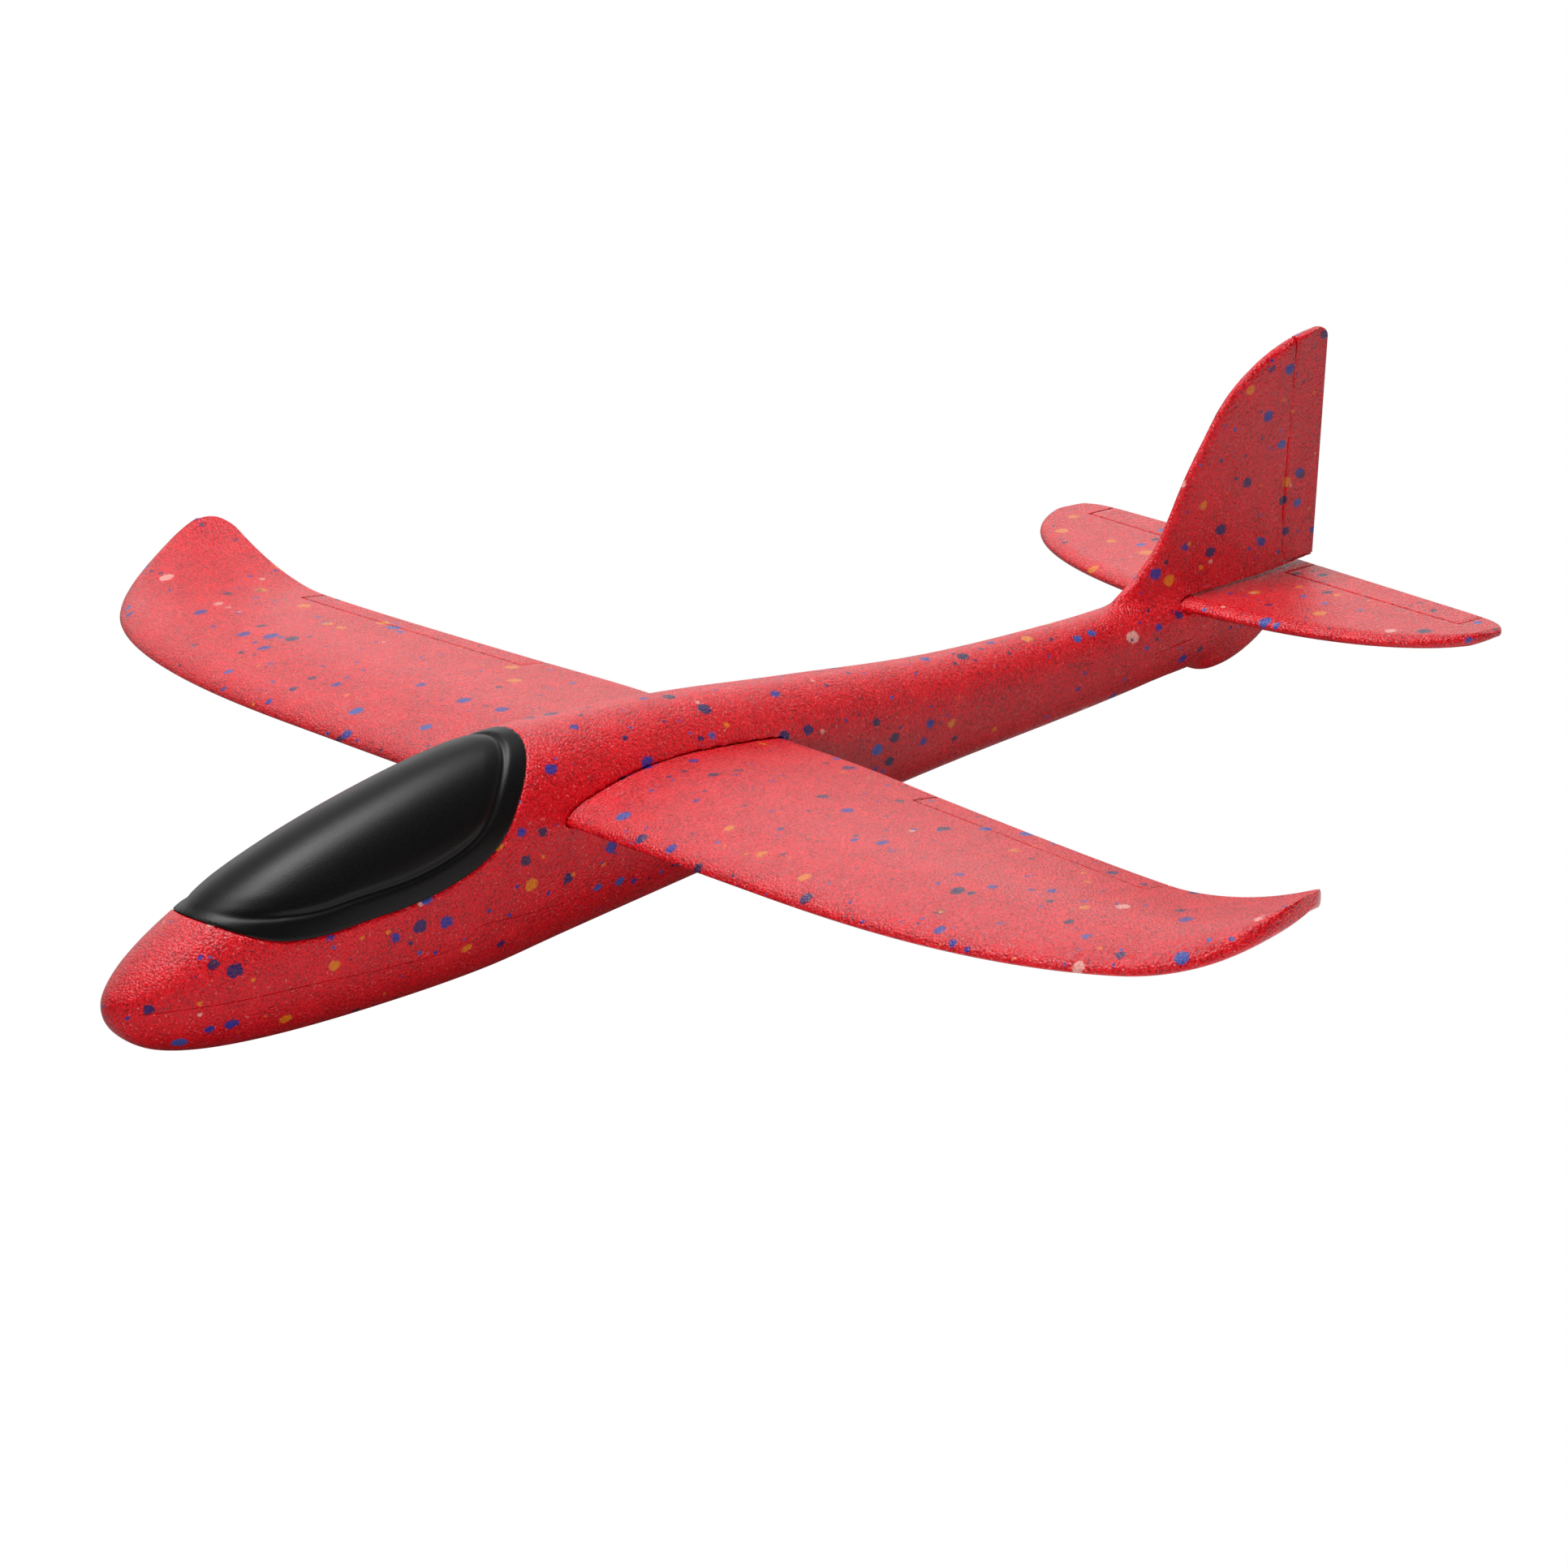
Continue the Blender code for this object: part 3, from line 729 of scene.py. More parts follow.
def make_web(name, blade, inner, outer, side, steps):
    """The strip of scored foam that joins a flap to the blade ahead of it, under the hinge line."""
    across = spread(0.0, 1.0, 6)
    rings = []
    for x in spread(inner.x + SLIT, outer.x - SLIT, steps):
        hinge = hinge_y(x, inner, outer)
        place = side * x
        thick = blade.thickness(place, hinge)
        recess = WEB_DEPTH * thick
        top = blade.middle(place, hinge) + thick / 2
        front = hinge - GAP / 2 - WEB_LAP

        def back(depth):
            return hinge + GAP / 2 + depth * math.tan(FLAP_BEVEL) + WEB_LAP

        ring = []
        for depth in spread(recess, thick - 0.3 * MM, 4)[:-1]:
            ring.append(blade.place(place, front, top - depth))
        for share in across:
            y = front + (back(thick) - front) * share
            skin = blade.middle(place, y) - blade.thickness(place, y) / 2
            crease = 0.1 * MM + 0.35 * MM * math.exp(-(((share - 0.12) / 0.18) ** 2))
            ring.append(blade.place(place, y, skin + crease))
        for depth in reversed(spread(recess, thick - 0.3 * MM, 4)[:-1]):
            ring.append(blade.place(place, back(depth), top - depth))
        for share in (0.7, 0.35):
            y = front + (back(recess) - front) * share
            ring.append(blade.place(place, y, top - recess - 0.05 * MM))
        rings.append(ring)
    made = loft(name, rings)
    shade(made, 60)
    along = Vector((side * (outer.x - inner.x), outer.y - inner.y, 0)).normalized()
    aft = Vector((-along.y, along.x, 0))
    aft = aft if aft.y > 0 else -aft
    start = Vector((side * inner.x, inner.y, 0)) - aft * GAP / 2
    width = GAP + blade.thickness(side * inner.x, inner.y) * math.tan(FLAP_BEVEL)
    return made, start, start + aft * width


# Fuselage


def hull_loft(name, offset=0.0):
    rings = [hull_ring(y, offset) for y in hull_stations()]
    return loft(name, rings, Vector((0, NOSE_Y - offset, NOSE_Z)))


def keel_loft(name):
    """The skid under the tail, which runs up into the fuselage."""
    rings = []
    top = TAIL_Z + 2 * MM
    first, last = KEEL[0][0], KEEL[-1][0]
    for y_mm in spread(first, last, 40):
        y = y_mm * MM
        bottom = smooth(KEEL, y_mm) * MM
        half = min(SKID_HALF_WIDTH, hull_value(y, 3) * 0.9)
        lift = min(half, (top - bottom) / 2)
        ring = [Vector((half, y, top)), Vector((half, y, bottom + lift))]
        for k in range(1, 12):
            angle = math.pi * k / 12
            ring.append(Vector((half * math.cos(angle), y, bottom + lift - lift * math.sin(angle))))
        ring += [Vector((-half, y, bottom + lift)), Vector((-half, y, top))]
        rings.append(ring)
    return loft(name, rings)


def fin_loft(name):
    blade = Fin()
    low = 44 * MM
    rings = []
    for k in range(61):
        z = low + (FIN_TOP_Z * 0.9994 - low) * math.sin(math.pi / 2 * k / 60)
        le, te = blade.ends(z)
        rings.append(blade_ring(blade, z, (le + te) / 2))
    return loft(name, rings, weld=1e-7)


def canopy_outline(drop_by=0.0, count=80):
    """Points (y, z) of the canopy's lower edge in side view, lowered square to the edge by drop_by."""
    line = [(y * MM, smooth(CANOPY_EDGE, y) * MM)
            for y in spread(CANOPY_EDGE[0][0], CANOPY_EDGE[-1][0], count)]
    moved = []
    for k, (y, z) in enumerate(line):
        before, after = line[max(k - 1, 0)], line[min(k + 1, count)]
        run, rise = after[0] - before[0], after[1] - before[1]
        size = math.hypot(run, rise)
        moved.append((y + rise / size * drop_by, z - run / size * drop_by))
    return moved


def canopy_edge_prism(name, drop_by):
    """Everything above the canopy's lower edge."""
    far = 40 * MM
    line = canopy_outline(drop_by)
    outline = [Vector((-far, y, z)) for y, z in line]
    outline.append(Vector((-far, line[-1][0], CANOPY_TOP_Z)))
    outline.append(Vector((-far, line[0][0], CANOPY_TOP_Z)))
    return prism(name, outline, Vector((2 * far, 0, 0)))


def hinge_ends(bottom, top):
    """The rudder's hinge line at two heights."""
    (low_y, low_z), (high_y, high_z) = RUDDER_LOW, RUDDER_HIGH
    return [Vector((0, low_y + (high_y - low_y) * (z - low_z) / (high_z - low_z), z))
            for z in (bottom, top)]


def rudder_tools():
    """The room cut out of the fin for the rudder, and the rudder's own outline, an arrow from above."""
    low, high = hinge_ends(RUDDER_BOTTOM_Z, FIN_TOP_Z + 2 * MM)
    aft = Vector((0, 1, 0))
    reach = aft * 30 * MM
    wide = Vector((9 * MM, 0, 0))
    room = [low - aft * GAP / 2, high - aft * GAP / 2, high + reach, low + reach]
    space = prism("rudder_space", [point - wide for point in room], wide * 2)
    start = low + (high - low).normalized() * SLIT + aft * GAP / 2
    deep = Vector((6 * MM, 0, 0))
    lean = aft * deep.length * math.tan(FLAP_BEVEL)
    front = [start - deep + lean, start, start + deep + lean]
    return space, prism("rudder_body", front + [front[2] + reach, front[0] + reach], high - low)


def weight_box():
    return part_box("nose_weight")


def seam_tool(name, path, side):
    """A thin ribbon that lies in the skin along a parting line."""
    rings = []
    first, last = path[0][0], path[-1][0]
    for y_mm in spread(first, last, 90):
        y = y_mm * MM
        z = smooth(path, y_mm) * MM
        x = hull_side(y, z)
        ahead = Vector((side * hull_side(y + MM, z), y + MM, z)) - Vector((side * x, y, z))
        above = Vector((side * hull_side(y, z + MM / 2), y, z + MM / 2)) - Vector((side * x, y, z))
        out = ahead.cross(above).normalized()
        out = out if out.x * side > 0 else -out
        up = above.normalized() * SEAM_WIDTH / 2
        middle = Vector((side * x, y, z))
        outer, inner = middle + out * 0.6 * MM, middle - out * SEAM_DEPTH
        rings.append([outer - up * 2, outer + up * 2, inner + up * 0.2, inner - up * 0.2])
    return loft(name, rings)


def grown_blade(name, blade, grow, places):
    """A blade's outline swept across the fuselage and grown, to cut its slot."""
    rings = []
    for x in places:
        le, te = blade.ends(x)
        ring = blade_ring(blade, x, (le + te) / 2)
        grown = []
        for k, point in enumerate(ring):
            run = ring[(k + 1) % len(ring)] - ring[k - 1]
            grown.append(point + Vector((0, -run.z, run.y)).normalized() * grow)
        inwards = (grown[0] - ring[0]).z < 0
        if inwards:
            grown = [point * 2 - moved for point, moved in zip(ring, grown)]
        rings.append(grown)
    return loft(name, rings)


def make_body():
    """The fuselage: hull, skid and fin run together, then cut for what fits into it."""
    body = hull_loft("fuselage_foam")
    carve(body, keel_loft("keel"), "UNION")
    fin = fin_loft("fin")
    rudder = copy_of(fin, "rudder_foam")
    carve(body, fin, "UNION")
    remesh(body, ROUGH_VOXEL)
    grow_fillets(body, FILLET_ROUNDS, 120 * MM)

    space, arrow = rudder_tools()
    carve(rudder, arrow, "INTERSECT")
    carve(body, space)

    inside = CANOPY_PROUD - CANOPY_THICK
    seat = hull_loft("seat", 4 * MM)
    carve(seat, canopy_edge_prism("seat_outline", GAP), "INTERSECT")
    carve(seat, hull_loft("seat_floor", inside - GAP))
    carve(body, seat)
    for y in PEG_Y:
        middle = Vector((0, y, hull_value(y, 2) + inside + 0.7 * MM - PEG_LENGTH / 2))
        carve(body, peg("peg_hole", middle, PEG_RADIUS + GAP, PEG_LENGTH + 2 * GAP))
    low, high = weight_box()
    room = Vector((GAP, GAP, GAP))
    carve(body, block("pocket", low - room, Vector((high.x, high.y, 60 * MM)) + room))
    carve(body, grown_blade("wing_slot", Wing(), GAP, spread(-60 * MM, 60 * MM, 4)))
    carve(body, grown_blade("tail_slot", Tail(), GAP, spread(-30 * MM, 30 * MM, 4)))
    half = TAIL_THICK / 2 + GAP
    mouth_low = (-30 * MM, TAIL_LE_Y + TAIL_THICK, TAIL_Z - half)
    carve(body, block("tail_mouth", mouth_low, (30 * MM, 260 * MM, TAIL_Z + half)))

    remesh(body, FINE_VOXEL)
    relax(body, 3)
    for k, path in enumerate(SEAMS):
        for side in (1, -1):
            carve(body, seam_tool("seam_%d" % k, path, side))
    shade(body)
    shade(rudder, 35)
    return body, rudder


def make_rudder_web():
    """The thin scored foam between fin and rudder, creased on both sides."""
    blade = Fin()
    rings = []
    top_z = 123.4 * MM
    for z in spread(RUDDER_BOTTOM_Z + SLIT, top_z, 40):
        hinge = hinge_ends(z, z)[0].y
        half = blade.thickness(z, hinge) / 2
        front = hinge - GAP / 2 - WEB_LAP
        back = hinge + GAP / 2 + half * math.tan(FLAP_BEVEL) + WEB_LAP
        sides = []
        for side in (1, -1):
            points = []
            for share in spread(0.0, 1.0, 8):
                y = front + (back - front) * share
                crease = 0.04 * MM + 0.28 * MM * math.exp(-(((share - 0.2) / 0.2) ** 2))
                points.append(blade.place(z, y, side * (blade.thickness(z, y) / 2 - crease)))
            sides.append(points)
        middle = [Vector((0, hinge + GAP / 2 + WEB_LAP, z))]
        rings.append(sides[0] + middle + list(reversed(sides[1])))
    made = loft("rudder_hinge_web", rings)
    shade(made, 60)
    low, high = hinge_ends(RUDDER_BOTTOM_Z, top_z)
    up = (high - low).normalized()
    aft = Vector((0, up.z, -up.y))
    start = low - aft * GAP / 2
    return made, start, start + aft * (GAP + FIN_THICK / 2 * math.tan(FLAP_BEVEL))


# Canopy


def canopy_relief(distance, y):
    """Height of the canopy's skin over the hull at a distance in from its edge. The flange narrows to
    the front."""
    fades = ease(*FLANGE_NARROWS, y)
    wide = FLANGE_WIDTH * (FLANGE_FRONT + (1 - FLANGE_FRONT) * fades)
    rim = RIM_ROUND * (1 - math.sqrt(max(1 - (1 - min(distance / RIM_ROUND, 1.0)) ** 2, 0.0)))
    groove = fades * GROOVE_DEPTH * math.exp(-(((distance - wide) / GROOVE_WIDTH) ** 2))
    bubble = (CANOPY_PROUD - FLANGE_PROUD) * ease(wide, wide + 6 * MM, distance)
    return FLANGE_PROUD + bubble - groove - 0.6 * rim


def make_canopy():
    edge = []
    for y, z in canopy_outline(0.0, 400):
        x = hull_side(y, z)
        edge += [Vector((x, y, z)), Vector((-x, y, z))]
    tree = KDTree(len(edge))
    for k, point in enumerate(edge):
        tree.insert(point, k)
    tree.balance()
    first, last = CANOPY_EDGE[0][0] * MM - 3 * MM, CANOPY_EDGE[-1][0] * MM + 3 * MM
    rings = []
    for y in spread(first, last, CANOPY_STEPS):
        bottom, top, half, wide = (hull_value(y, column) for column in (1, 2, 3, 4))
        ring = []
        for k in range(CANOPY_POINTS):
            angle = math.pi * (k / (CANOPY_POINTS - 1) * 1.2 - 0.1)
            x = power(math.cos(angle), 2 / FULLNESS)
            z = power(math.sin(angle), 2 / FULLNESS)
            reach = top - wide if z > 0 else wide - bottom
            base = Vector((x * half, y, wide + z * reach))
            line = smooth(CANOPY_EDGE, y / MM) * MM
            if base.z > line - 2 * MM:
                distance = tree.find(base)[2] if base.z > line else 0.0
            else:
                distance = 0.0
            lift = canopy_relief(distance, y)
            ring.append(Vector((x * (half + lift), y, wide + z * (reach + lift))))
        rings.append(ring)
    canopy = loft("canopy_shell", rings)
    carve(canopy, canopy_edge_prism("canopy_outline", 0.0), "INTERSECT")
    carve(canopy, hull_loft("canopy_inside", CANOPY_PROUD - CANOPY_THICK))
    for y in PEG_Y:
        middle = Vector((0, y, hull_value(y, 2) + CANOPY_PROUD - CANOPY_THICK + 0.7 * MM - PEG_LENGTH / 2))
        pin = peg("peg", middle, PEG_RADIUS, PEG_LENGTH)
        edge_round = pin.modifiers.new("Round", "BEVEL")
        edge_round.width = 0.5 * MM
        edge_round.segments = 3
        settle(pin)
        carve(canopy, pin, "UNION")
    shade(canopy, 40)
    return canopy


def make_weight():
    low, high = weight_box()
    weight = block("nose_weight_bar", low, high)
    edge = weight.modifiers.new("Edges", "BEVEL")
    edge.width = 0.7 * MM
    edge.segments = 4
    settle(weight)
    middle = (low + high) / 2
    for y in (-7 * MM, 7 * MM):
        dimple = peg("dimple", Vector((middle.x, middle.y + y, high.z)), 1.2 * MM, 0.8 * MM)
        carve(weight, dimple)
    shade(weight, 40)
    return weight


# Materials


class Graph:
    """Adds nodes to a new material and links them."""

    def __init__(self, name):
        self.material = bpy.data.materials.new(name)
        self.material.use_nodes = True
        self.tree = self.material.node_tree
        self.shader = self.tree.nodes["Principled BSDF"]

    def add(self, kind, inputs=None, **settings):
        node = self.tree.nodes.new(kind)
        for key, value in settings.items():
            setattr(node, key, value)
        for key, value in (inputs or {}).items():
            self.put(node.inputs[key], value)
        return node

    def put(self, socket, value):
        if isinstance(value, bpy.types.NodeSocket):
            self.tree.links.new(value, socket)
        else:
            socket.default_value = value

    def maths(self, operation, a, b=0.0, clamp=False):
        return self.add("ShaderNodeMath", {0: a, 1: b}, operation=operation, use_clamp=clamp).outputs[0]

    def mix(self, share, a, b, blend="MIX"):
        node = self.add("ShaderNodeMix", {0: share, 6: a, 7: b}, data_type="RGBA", blend_type=blend)
        return node.outputs[2]

    def fade(self, value, low, high, start=0.0, end=1.0):
        inputs = {"Value": value, "From Min": low, "From Max": high, "To Min": start, "To Max": end}
        return self.add("ShaderNodeMapRange", inputs, interpolation_type="SMOOTHSTEP").outputs[0]

    def place(self, shift=(0, 0, 0), scale=(1, 1, 1)):
        start = self.add("ShaderNodeTexCoord").outputs["Object"]
        inputs = {"Vector": start, "Location": shift, "Scale": scale}
        return self.add("ShaderNodeMapping", inputs).outputs[0]

    def noise(self, vector, size, detail=2.0, roughness=0.5):
        inputs = {"Vector": vector, "Scale": 1 / size, "Detail": detail, "Roughness": roughness}
        return self.add("ShaderNodeTexNoise", inputs)

    def cells(self, vector, size, feature="F1"):
        inputs = {"Vector": vector, "Scale": 1 / size}
        return self.add("ShaderNodeTexVoronoi", inputs, feature=feature)

    def bump(self, height, depth, strength=1.0, normal=None):
        inputs = {"Height": height, "Distance": depth, "Strength": strength}
        if normal:
            inputs["Normal"] = normal
        return self.add("ShaderNodeBump", inputs).outputs[0]


def colour(red, green, blue):
    """A linear colour from its 0-255 screen values."""
    values = []
    for value in (red, green, blue):
        value /= 255
        values.append(value / 12.92 if value <= 0.04045 else ((value + 0.055) / 1.055) ** 2.4)
    return (*values, 1.0)


# Size of the cells, radius in cells, share of the cells with a fleck, shift and stretch of the pattern
FLECK_LAYERS = [
    (6.8 * MM, 0.31, 0.75, (0.03, 0.01, 0.07), (1.0, 0.75, 1.0)),
    (4.2 * MM, 0.2, 0.65, (0.4, 0.2, 0.1), (1.0, 0.8, 1.0)),
]
FLECK_COLOURS = [
    (0.00, (18, 40, 140)),
    (0.30, (12, 10, 84)),
    (0.50, (34, 76, 160)),
    (0.66, (225, 120, 0)),
    (0.80, (24, 8, 64)),
    (0.96, (235, 160, 150)),
]


def fleck_layer(graph, size, radius, share, shift, stretch):
    """Beads of other colours in the foam: a mask and their colour. share is the part of the cells that
    hold one, and radius is in cells."""
    place = graph.place(shift, stretch)
    wobble = graph.noise(place, 0.9 * MM, 3.0).outputs["Color"]
    away = graph.add("ShaderNodeVectorMath", {0: wobble, 1: (0.5, 0.5, 0.5)}, operation="SUBTRACT")
    moved = graph.add(
        "ShaderNodeVectorMath",
        {0: away.outputs[0], 1: (1.6 * MM, 1.6 * MM, 1.6 * MM), 2: place},
        operation="MULTIPLY_ADD",
    )
    cell = graph.cells(moved.outputs[0], size)
    channels = graph.add("ShaderNodeSeparateColor", {0: cell.outputs["Color"]})
    reach = graph.fade(channels.outputs[0], 0.0, 1.0, radius * 0.3, radius)
    inside = graph.fade(graph.maths("SUBTRACT", reach, cell.outputs["Distance"]), -0.01, 0.05)
    present = graph.maths("LESS_THAN", channels.outputs[1], share)
    ramp = graph.add("ShaderNodeValToRGB", {0: channels.outputs[2]})
    ramp.color_ramp.interpolation = "CONSTANT"
    stops = ramp.color_ramp.elements
    while len(stops) < len(FLECK_COLOURS):
        stops.new(0.5)
    for stop, (position, shade_of) in zip(stops, FLECK_COLOURS):
        stop.position = position
        stop.color = colour(*shade_of)
    return graph.maths("MULTIPLY", inside, present), ramp.outputs[0]


def foam_material(name):
    """Red moulded bead foam with a fine skin grain, scattered beads of other colours and painted sparkle
    glints.
    """
    graph = Graph(name)
    place = graph.place()
    grain = graph.noise(place, 0.75 * MM, 3.0, 0.7).outputs[0]
    beads = graph.cells(place, 0.8 * MM)
    patches = graph.noise(place, 9 * MM, 2.0).outputs[0]
    deep, plain, bright = colour(112, 0, 8), colour(232, 2, 22), colour(248, 14, 30)
    base = graph.mix(graph.fade(grain, 0.32, 0.56), deep, plain)
    base = graph.mix(graph.fade(patches, 0.35, 0.75, 0.0, 0.5), base, bright)
    edge = graph.fade(beads.outputs["Distance"], 0.35, 0.75, 0.0, 0.45)
    base = graph.mix(edge, base, colour(160, 0, 12))
    # Painted sparkle: a tenth of the fine beads get a pale pink core, a painted glint of light on the foam.
    channels = graph.add("ShaderNodeSeparateColor", {0: beads.outputs["Color"]})
    painted_glints = graph.maths("GREATER_THAN", channels.outputs[0], 0.9)
    core = graph.fade(beads.outputs["Distance"], 0.15, 0.42, 1.0, 0.0)
    painted_glints = graph.maths("MULTIPLY", graph.maths("MULTIPLY", painted_glints, core), 0.4)
    base = graph.mix(painted_glints, base, colour(250, 170, 160))
    for size, radius, share, shift, stretch in FLECK_LAYERS:
        mask, shown = fleck_layer(graph, size, radius, share, shift, stretch)
        worn = graph.fade(grain, 0.3, 0.5, 0.72, 0.96)
        base = graph.mix(graph.maths("MULTIPLY", mask, worn), base, shown)
    graph.put(graph.shader.inputs["Base Color"], base)
    rough = graph.fade(grain, 0.3, 0.7, 0.22, 0.4)
    graph.put(graph.shader.inputs["Roughness"], rough)
    graph.shader.inputs["Specular IOR Level"].default_value = 0.62
    graph.shader.inputs["Specular Tint"].default_value = colour(244, 246, 255)
    fine = graph.maths("MULTIPLY", grain, 0.6)
    height = graph.maths("SUBTRACT", fine, graph.maths("MULTIPLY", beads.outputs["Distance"], 0.5))
    normal = graph.bump(height, 0.5 * MM, 1.0)
    soft = graph.noise(place, 14 * MM, 1.0).outputs[0]
    graph.put(graph.shader.inputs["Normal"], graph.bump(soft, 0.5 * MM, 0.5, normal))
    return graph.material


def canopy_material():
    """Black satin plastic with a fine moulded grain."""
    graph = Graph("Black satin plastic")
    place = graph.place()
    grain = graph.noise(place, 0.45 * MM, 3.0, 0.6).outputs[0]
    clouds = graph.noise(place, 22 * MM, 2.0).outputs[0]
    base = graph.mix(graph.fade(grain, 0.35, 0.65), colour(9, 8, 8), colour(17, 16, 16))
    graph.put(graph.shader.inputs["Base Color"], base)
    mixed = graph.maths("ADD", graph.maths("MULTIPLY", grain, 0.12), graph.maths("MULTIPLY", clouds, 0.08))
    graph.put(graph.shader.inputs["Roughness"], graph.maths("ADD", mixed, 0.3))
    graph.put(graph.shader.inputs["Normal"], graph.bump(grain, 0.07 * MM, 0.6))
    graph.shader.inputs["Specular IOR Level"].default_value = 0.2
    return graph.material


def steel_material():
    """Zinc-plated steel, brushed along its length."""
    graph = Graph("Zinc plated steel")
    brushed = graph.noise(graph.place(scale=(1, 0.05, 1)), 0.25 * MM, 3.0).outputs[0]
    clouds = graph.noise(graph.place(), 4 * MM, 3.0).outputs[0]
    base = graph.mix(graph.fade(clouds, 0.35, 0.65), colour(176, 178, 182), colour(205, 206, 208))
    graph.put(graph.shader.inputs["Base Color"], base)
    graph.shader.inputs["Metallic"].default_value = 1.0
    graph.put(graph.shader.inputs["Roughness"], graph.fade(brushed, 0.3, 0.7, 0.25, 0.42))
    graph.put(graph.shader.inputs["Normal"], graph.bump(brushed, 0.03 * MM, 0.6))
    return graph.material


# Studio


def make_floor():
    size = 6.0
    bpy.ops.mesh.primitive_plane_add(size=size, location=(0, 0, BELLY_Z - 0.2 * MM))
    floor = bpy.context.object
    floor.name = "floor"
    graph = Graph("Pale floor")
    tone = graph.noise(graph.place(), 0.8, 2.0).outputs[0]
    shades = graph.mix(tone, colour(150, 150, 150), colour(156, 156, 156))
    graph.put(graph.shader.inputs["Base Color"], shades)
    graph.shader.inputs["Roughness"].default_value = 0.9
    glow = graph.add("ShaderNodeEmission", {"Strength": FLOOR_GLOW})
    rays = graph.add("ShaderNodeLightPath").outputs
    seen = rays["Is Camera Ray"]
    across = graph.add("ShaderNodeSeparateXYZ", {0: graph.place()}).outputs[0]
    pool = graph.fade(across, *POOL_REACH, 0.0, POOL_LIGHT)
    graph.shader.inputs["Emission Color"].default_value = (1, 1, 1, 1)
    mirrored = graph.maths("MULTIPLY", pool, rays["Is Glossy Ray"])
    graph.put(graph.shader.inputs["Emission Strength"], mirrored)
    both = graph.add("ShaderNodeMixShader", {0: seen, 1: graph.shader.outputs[0], 2: glow.outputs[0]})
    graph.put(graph.tree.nodes["Material Output"].inputs["Surface"], both.outputs[0])
    floor.data.materials.append(graph.material)


def make_camera():
    """A long lens ahead of the left wing, a little above it."""
    data = bpy.data.cameras.new("camera")
    data.lens = CAMERA_LENS
    data.sensor_width = 36
    data.clip_start = 0.05
    data.clip_end = 50
    camera = bpy.data.objects.new("camera", data)
    bpy.context.scene.collection.objects.link(camera)
    across = math.cos(CAMERA_ELEVATION) * math.sin(CAMERA_AZIMUTH)
    ahead = -math.cos(CAMERA_ELEVATION) * math.cos(CAMERA_AZIMUTH)
    back = Vector((across, ahead, math.sin(CAMERA_ELEVATION)))
    right = Vector((0, 0, 1)).cross(back).normalized()
    up = back.cross(right)
    turned = right * math.cos(CAMERA_ROLL) + up * math.sin(CAMERA_ROLL)
    up = back.cross(turned)
    rows = Matrix((turned, up, back)).transposed()
    camera.matrix_world = Matrix.Translation(CAMERA_PLACE) @ rows.to_4x4()
    bpy.context.scene.camera = camera


def add_light(name, towards, distance, size, watts, mirrored):
    """A square soft box in the direction towards, facing the glider."""
    data = bpy.data.lights.new(name, "AREA")
    data.shape = "SQUARE"
    data.size = size
    data.energy = watts
    lamp = bpy.data.objects.new(name, data)
    bpy.context.scene.collection.objects.link(lamp)
    towards = Vector(towards).normalized()
    lamp.location = towards * distance
    lamp.rotation_mode = "QUATERNION"
    lamp.rotation_quaternion = towards.to_track_quat("Z", "Y")
    lamp.visible_glossy = mirrored


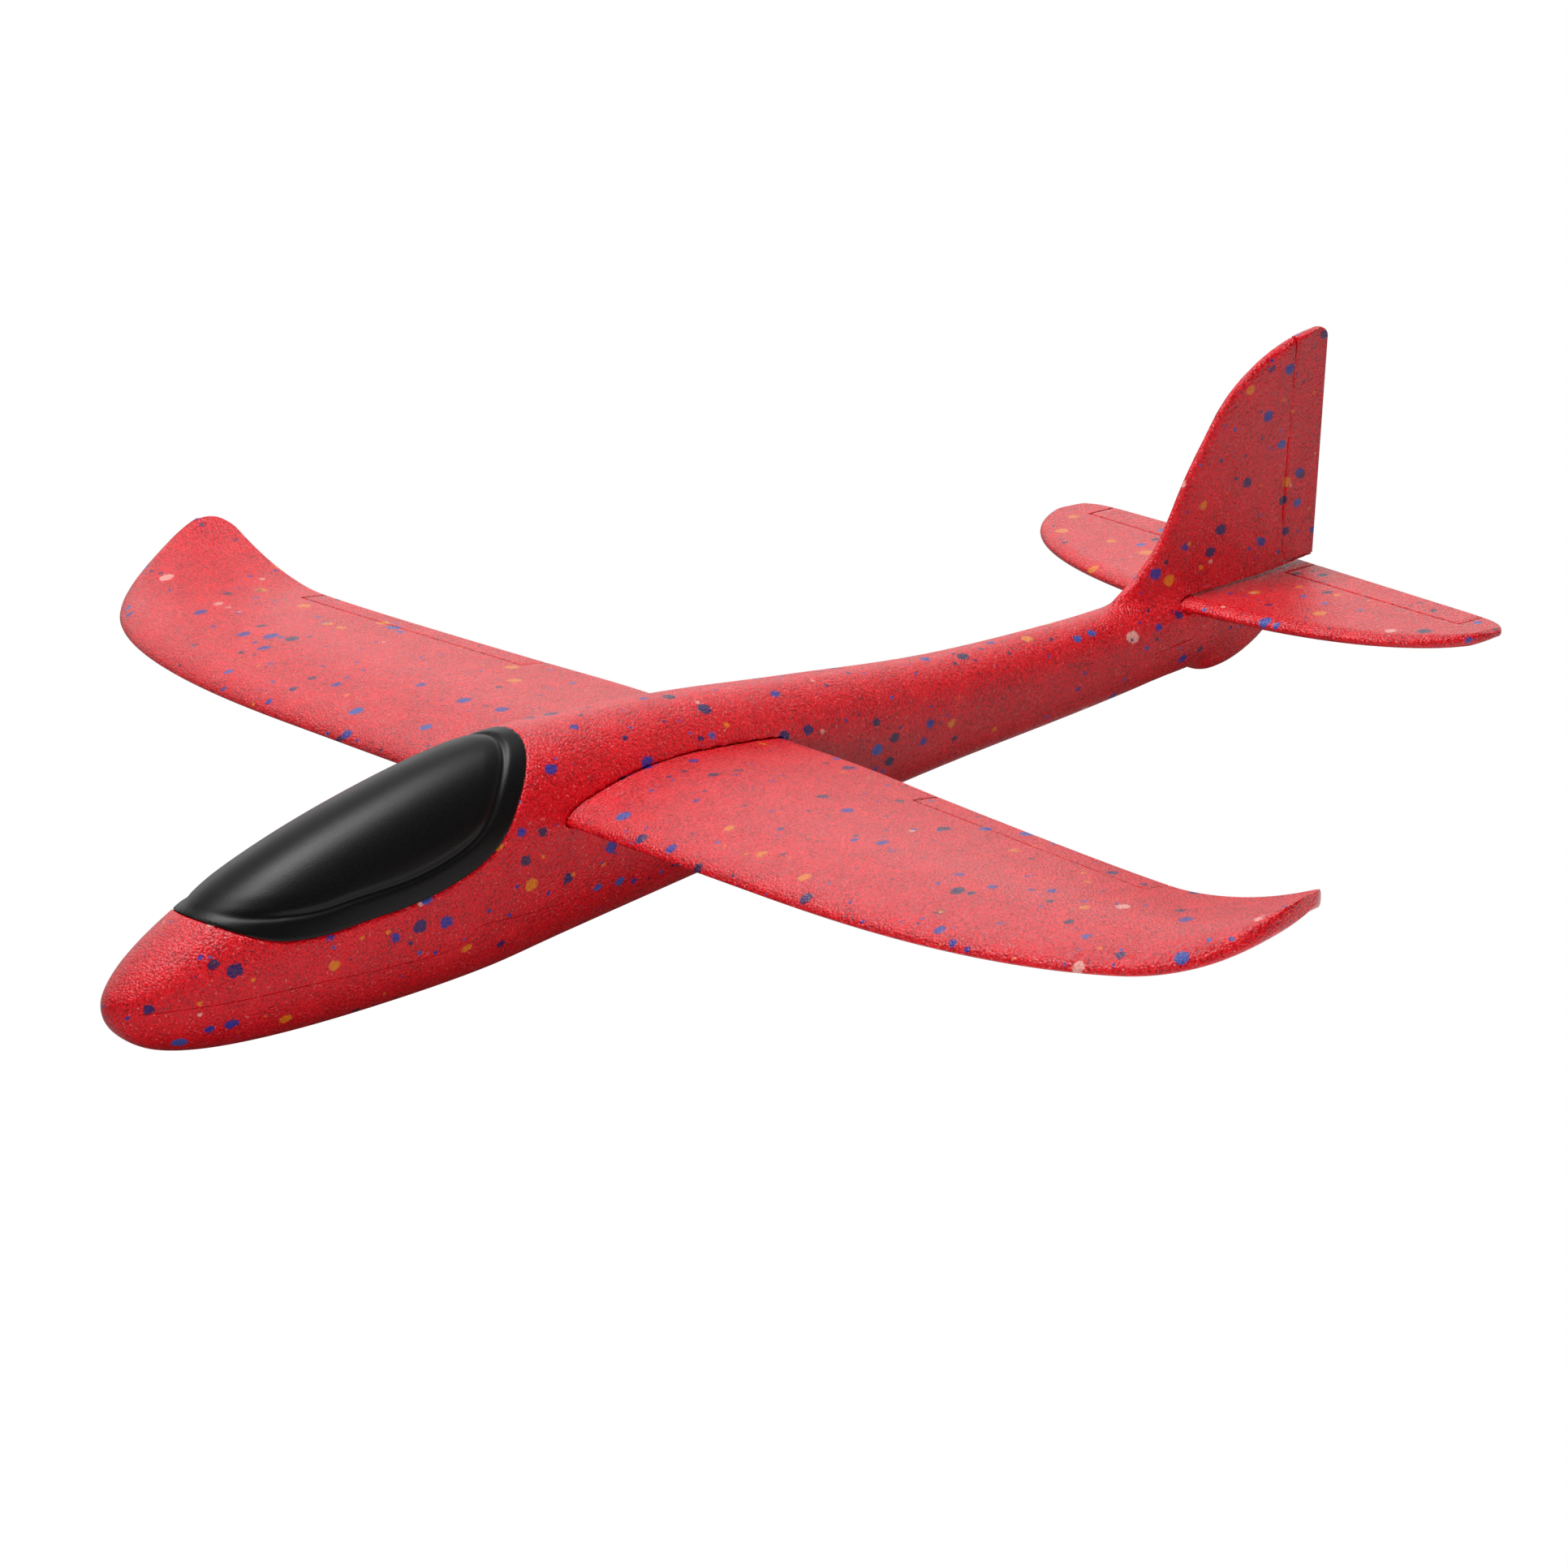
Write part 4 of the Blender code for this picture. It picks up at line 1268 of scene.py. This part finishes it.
def make_world():
    """A bright backdrop low behind the glider, dim elsewhere, and plain white to the camera."""
    world = bpy.data.worlds.new("studio")
    world.use_nodes = True
    bpy.context.scene.world = world
    tree = world.node_tree
    place = tree.nodes.new("ShaderNodeTexCoord").outputs["Generated"]

    def fade(value, low, high, start, end):
        node = tree.nodes.new("ShaderNodeMapRange")
        node.interpolation_type = "SMOOTHSTEP"
        for key, number in (("From Min", low), ("From Max", high), ("To Min", start), ("To Max", end)):
            node.inputs[key].default_value = number
        tree.links.new(value, node.inputs["Value"])
        return node.outputs[0]

    def maths(operation, a, b):
        node = tree.nodes.new("ShaderNodeMath")
        node.operation = operation
        tree.links.new(a, node.inputs[0])
        tree.links.new(b, node.inputs[1])
        return node.outputs[0]

    behind = tree.nodes.new("ShaderNodeVectorMath")
    behind.operation = "DOT_PRODUCT"
    behind.inputs[1].default_value = (-0.73, 0.68, 0.0)
    tree.links.new(place, behind.inputs[0])
    height = tree.nodes.new("ShaderNodeSeparateXYZ")
    tree.links.new(place, height.inputs[0])
    backdrop = fade(behind.outputs["Value"], *BACKDROP_SPREAD, 0.0, BACKDROP_LIGHT)
    low = fade(height.outputs["Z"], *BACKDROP_TOP, 1.0, 0.0)
    room = fade(behind.outputs["Value"], -0.8, 0.6, *ROOM_LIGHT)
    light = maths("ADD", maths("MULTIPLY", backdrop, low), room)
    seen = tree.nodes.new("ShaderNodeLightPath").outputs["Is Camera Ray"]
    tree.links.new(maths("MAXIMUM", light, seen), tree.nodes["Background"].inputs["Strength"])
    tree.nodes["Background"].inputs["Color"].default_value = (1, 1, 1, 1)


# Assembly


def dress(thing, material, slot, *nodes):
    thing.data.materials.clear()
    thing.data.materials.append(material)
    if nodes:
        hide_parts(*nodes)


def build():
    foam = foam_material("Red bead foam")
    body, rudder = make_body()
    dress(body, foam, "foam", "fuselage")
    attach(body, "airframe")
    dress(rudder, foam, "foam", "rudder")
    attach(rudder, "rudder")
    web, start, end = make_rudder_web()
    dress(web, foam, "foam")
    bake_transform(web)

    wing = blade_with_gaps("wing_foam", Wing(), AILERON_IN, AILERON_OUT, HALF_SPAN, (18, 26, 40))
    dress(wing, foam, "foam", "wing")
    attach(wing, "airframe")
    tail = blade_with_gaps("tailplane_foam", Tail(), ELEVATOR_IN, ELEVATOR_OUT, TAIL_HALF_SPAN, (4, 20, 30))
    dress(tail, foam, "foam", "tailplane")
    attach(tail, "tailplane")
    flaps = [
        ("aileron", Wing(), AILERON_IN, AILERON_OUT, "airframe"),
        ("elevator", Tail(), ELEVATOR_IN, ELEVATOR_OUT, "tailplane"),
    ]
    for kind, blade, inner, outer, ahead in flaps:
        for hand, side in (("left", 1), ("right", -1)):
            name = kind + "_" + hand
            flap = make_flap(name + "_foam", blade, inner, outer, side, 26)
            dress(flap, foam, "foam", name)
            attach(flap, name)
            web, start, end = make_web(name + "_hinge_web", blade, inner, outer, side, 26)
            dress(web, foam, "foam")
            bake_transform(web)

    canopy = make_canopy()
    dress(canopy, canopy_material(), "canopy_plastic", "canopy")
    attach(canopy, "canopy")
    weight = make_weight()
    dress(weight, steel_material(), "weight_steel", "nose_weight")
    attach(weight, "airframe")


build()
make_floor()
make_camera()
make_world()
for light in LIGHTS:
    add_light(*light)
bpy.context.scene.view_settings.view_transform = "Standard"
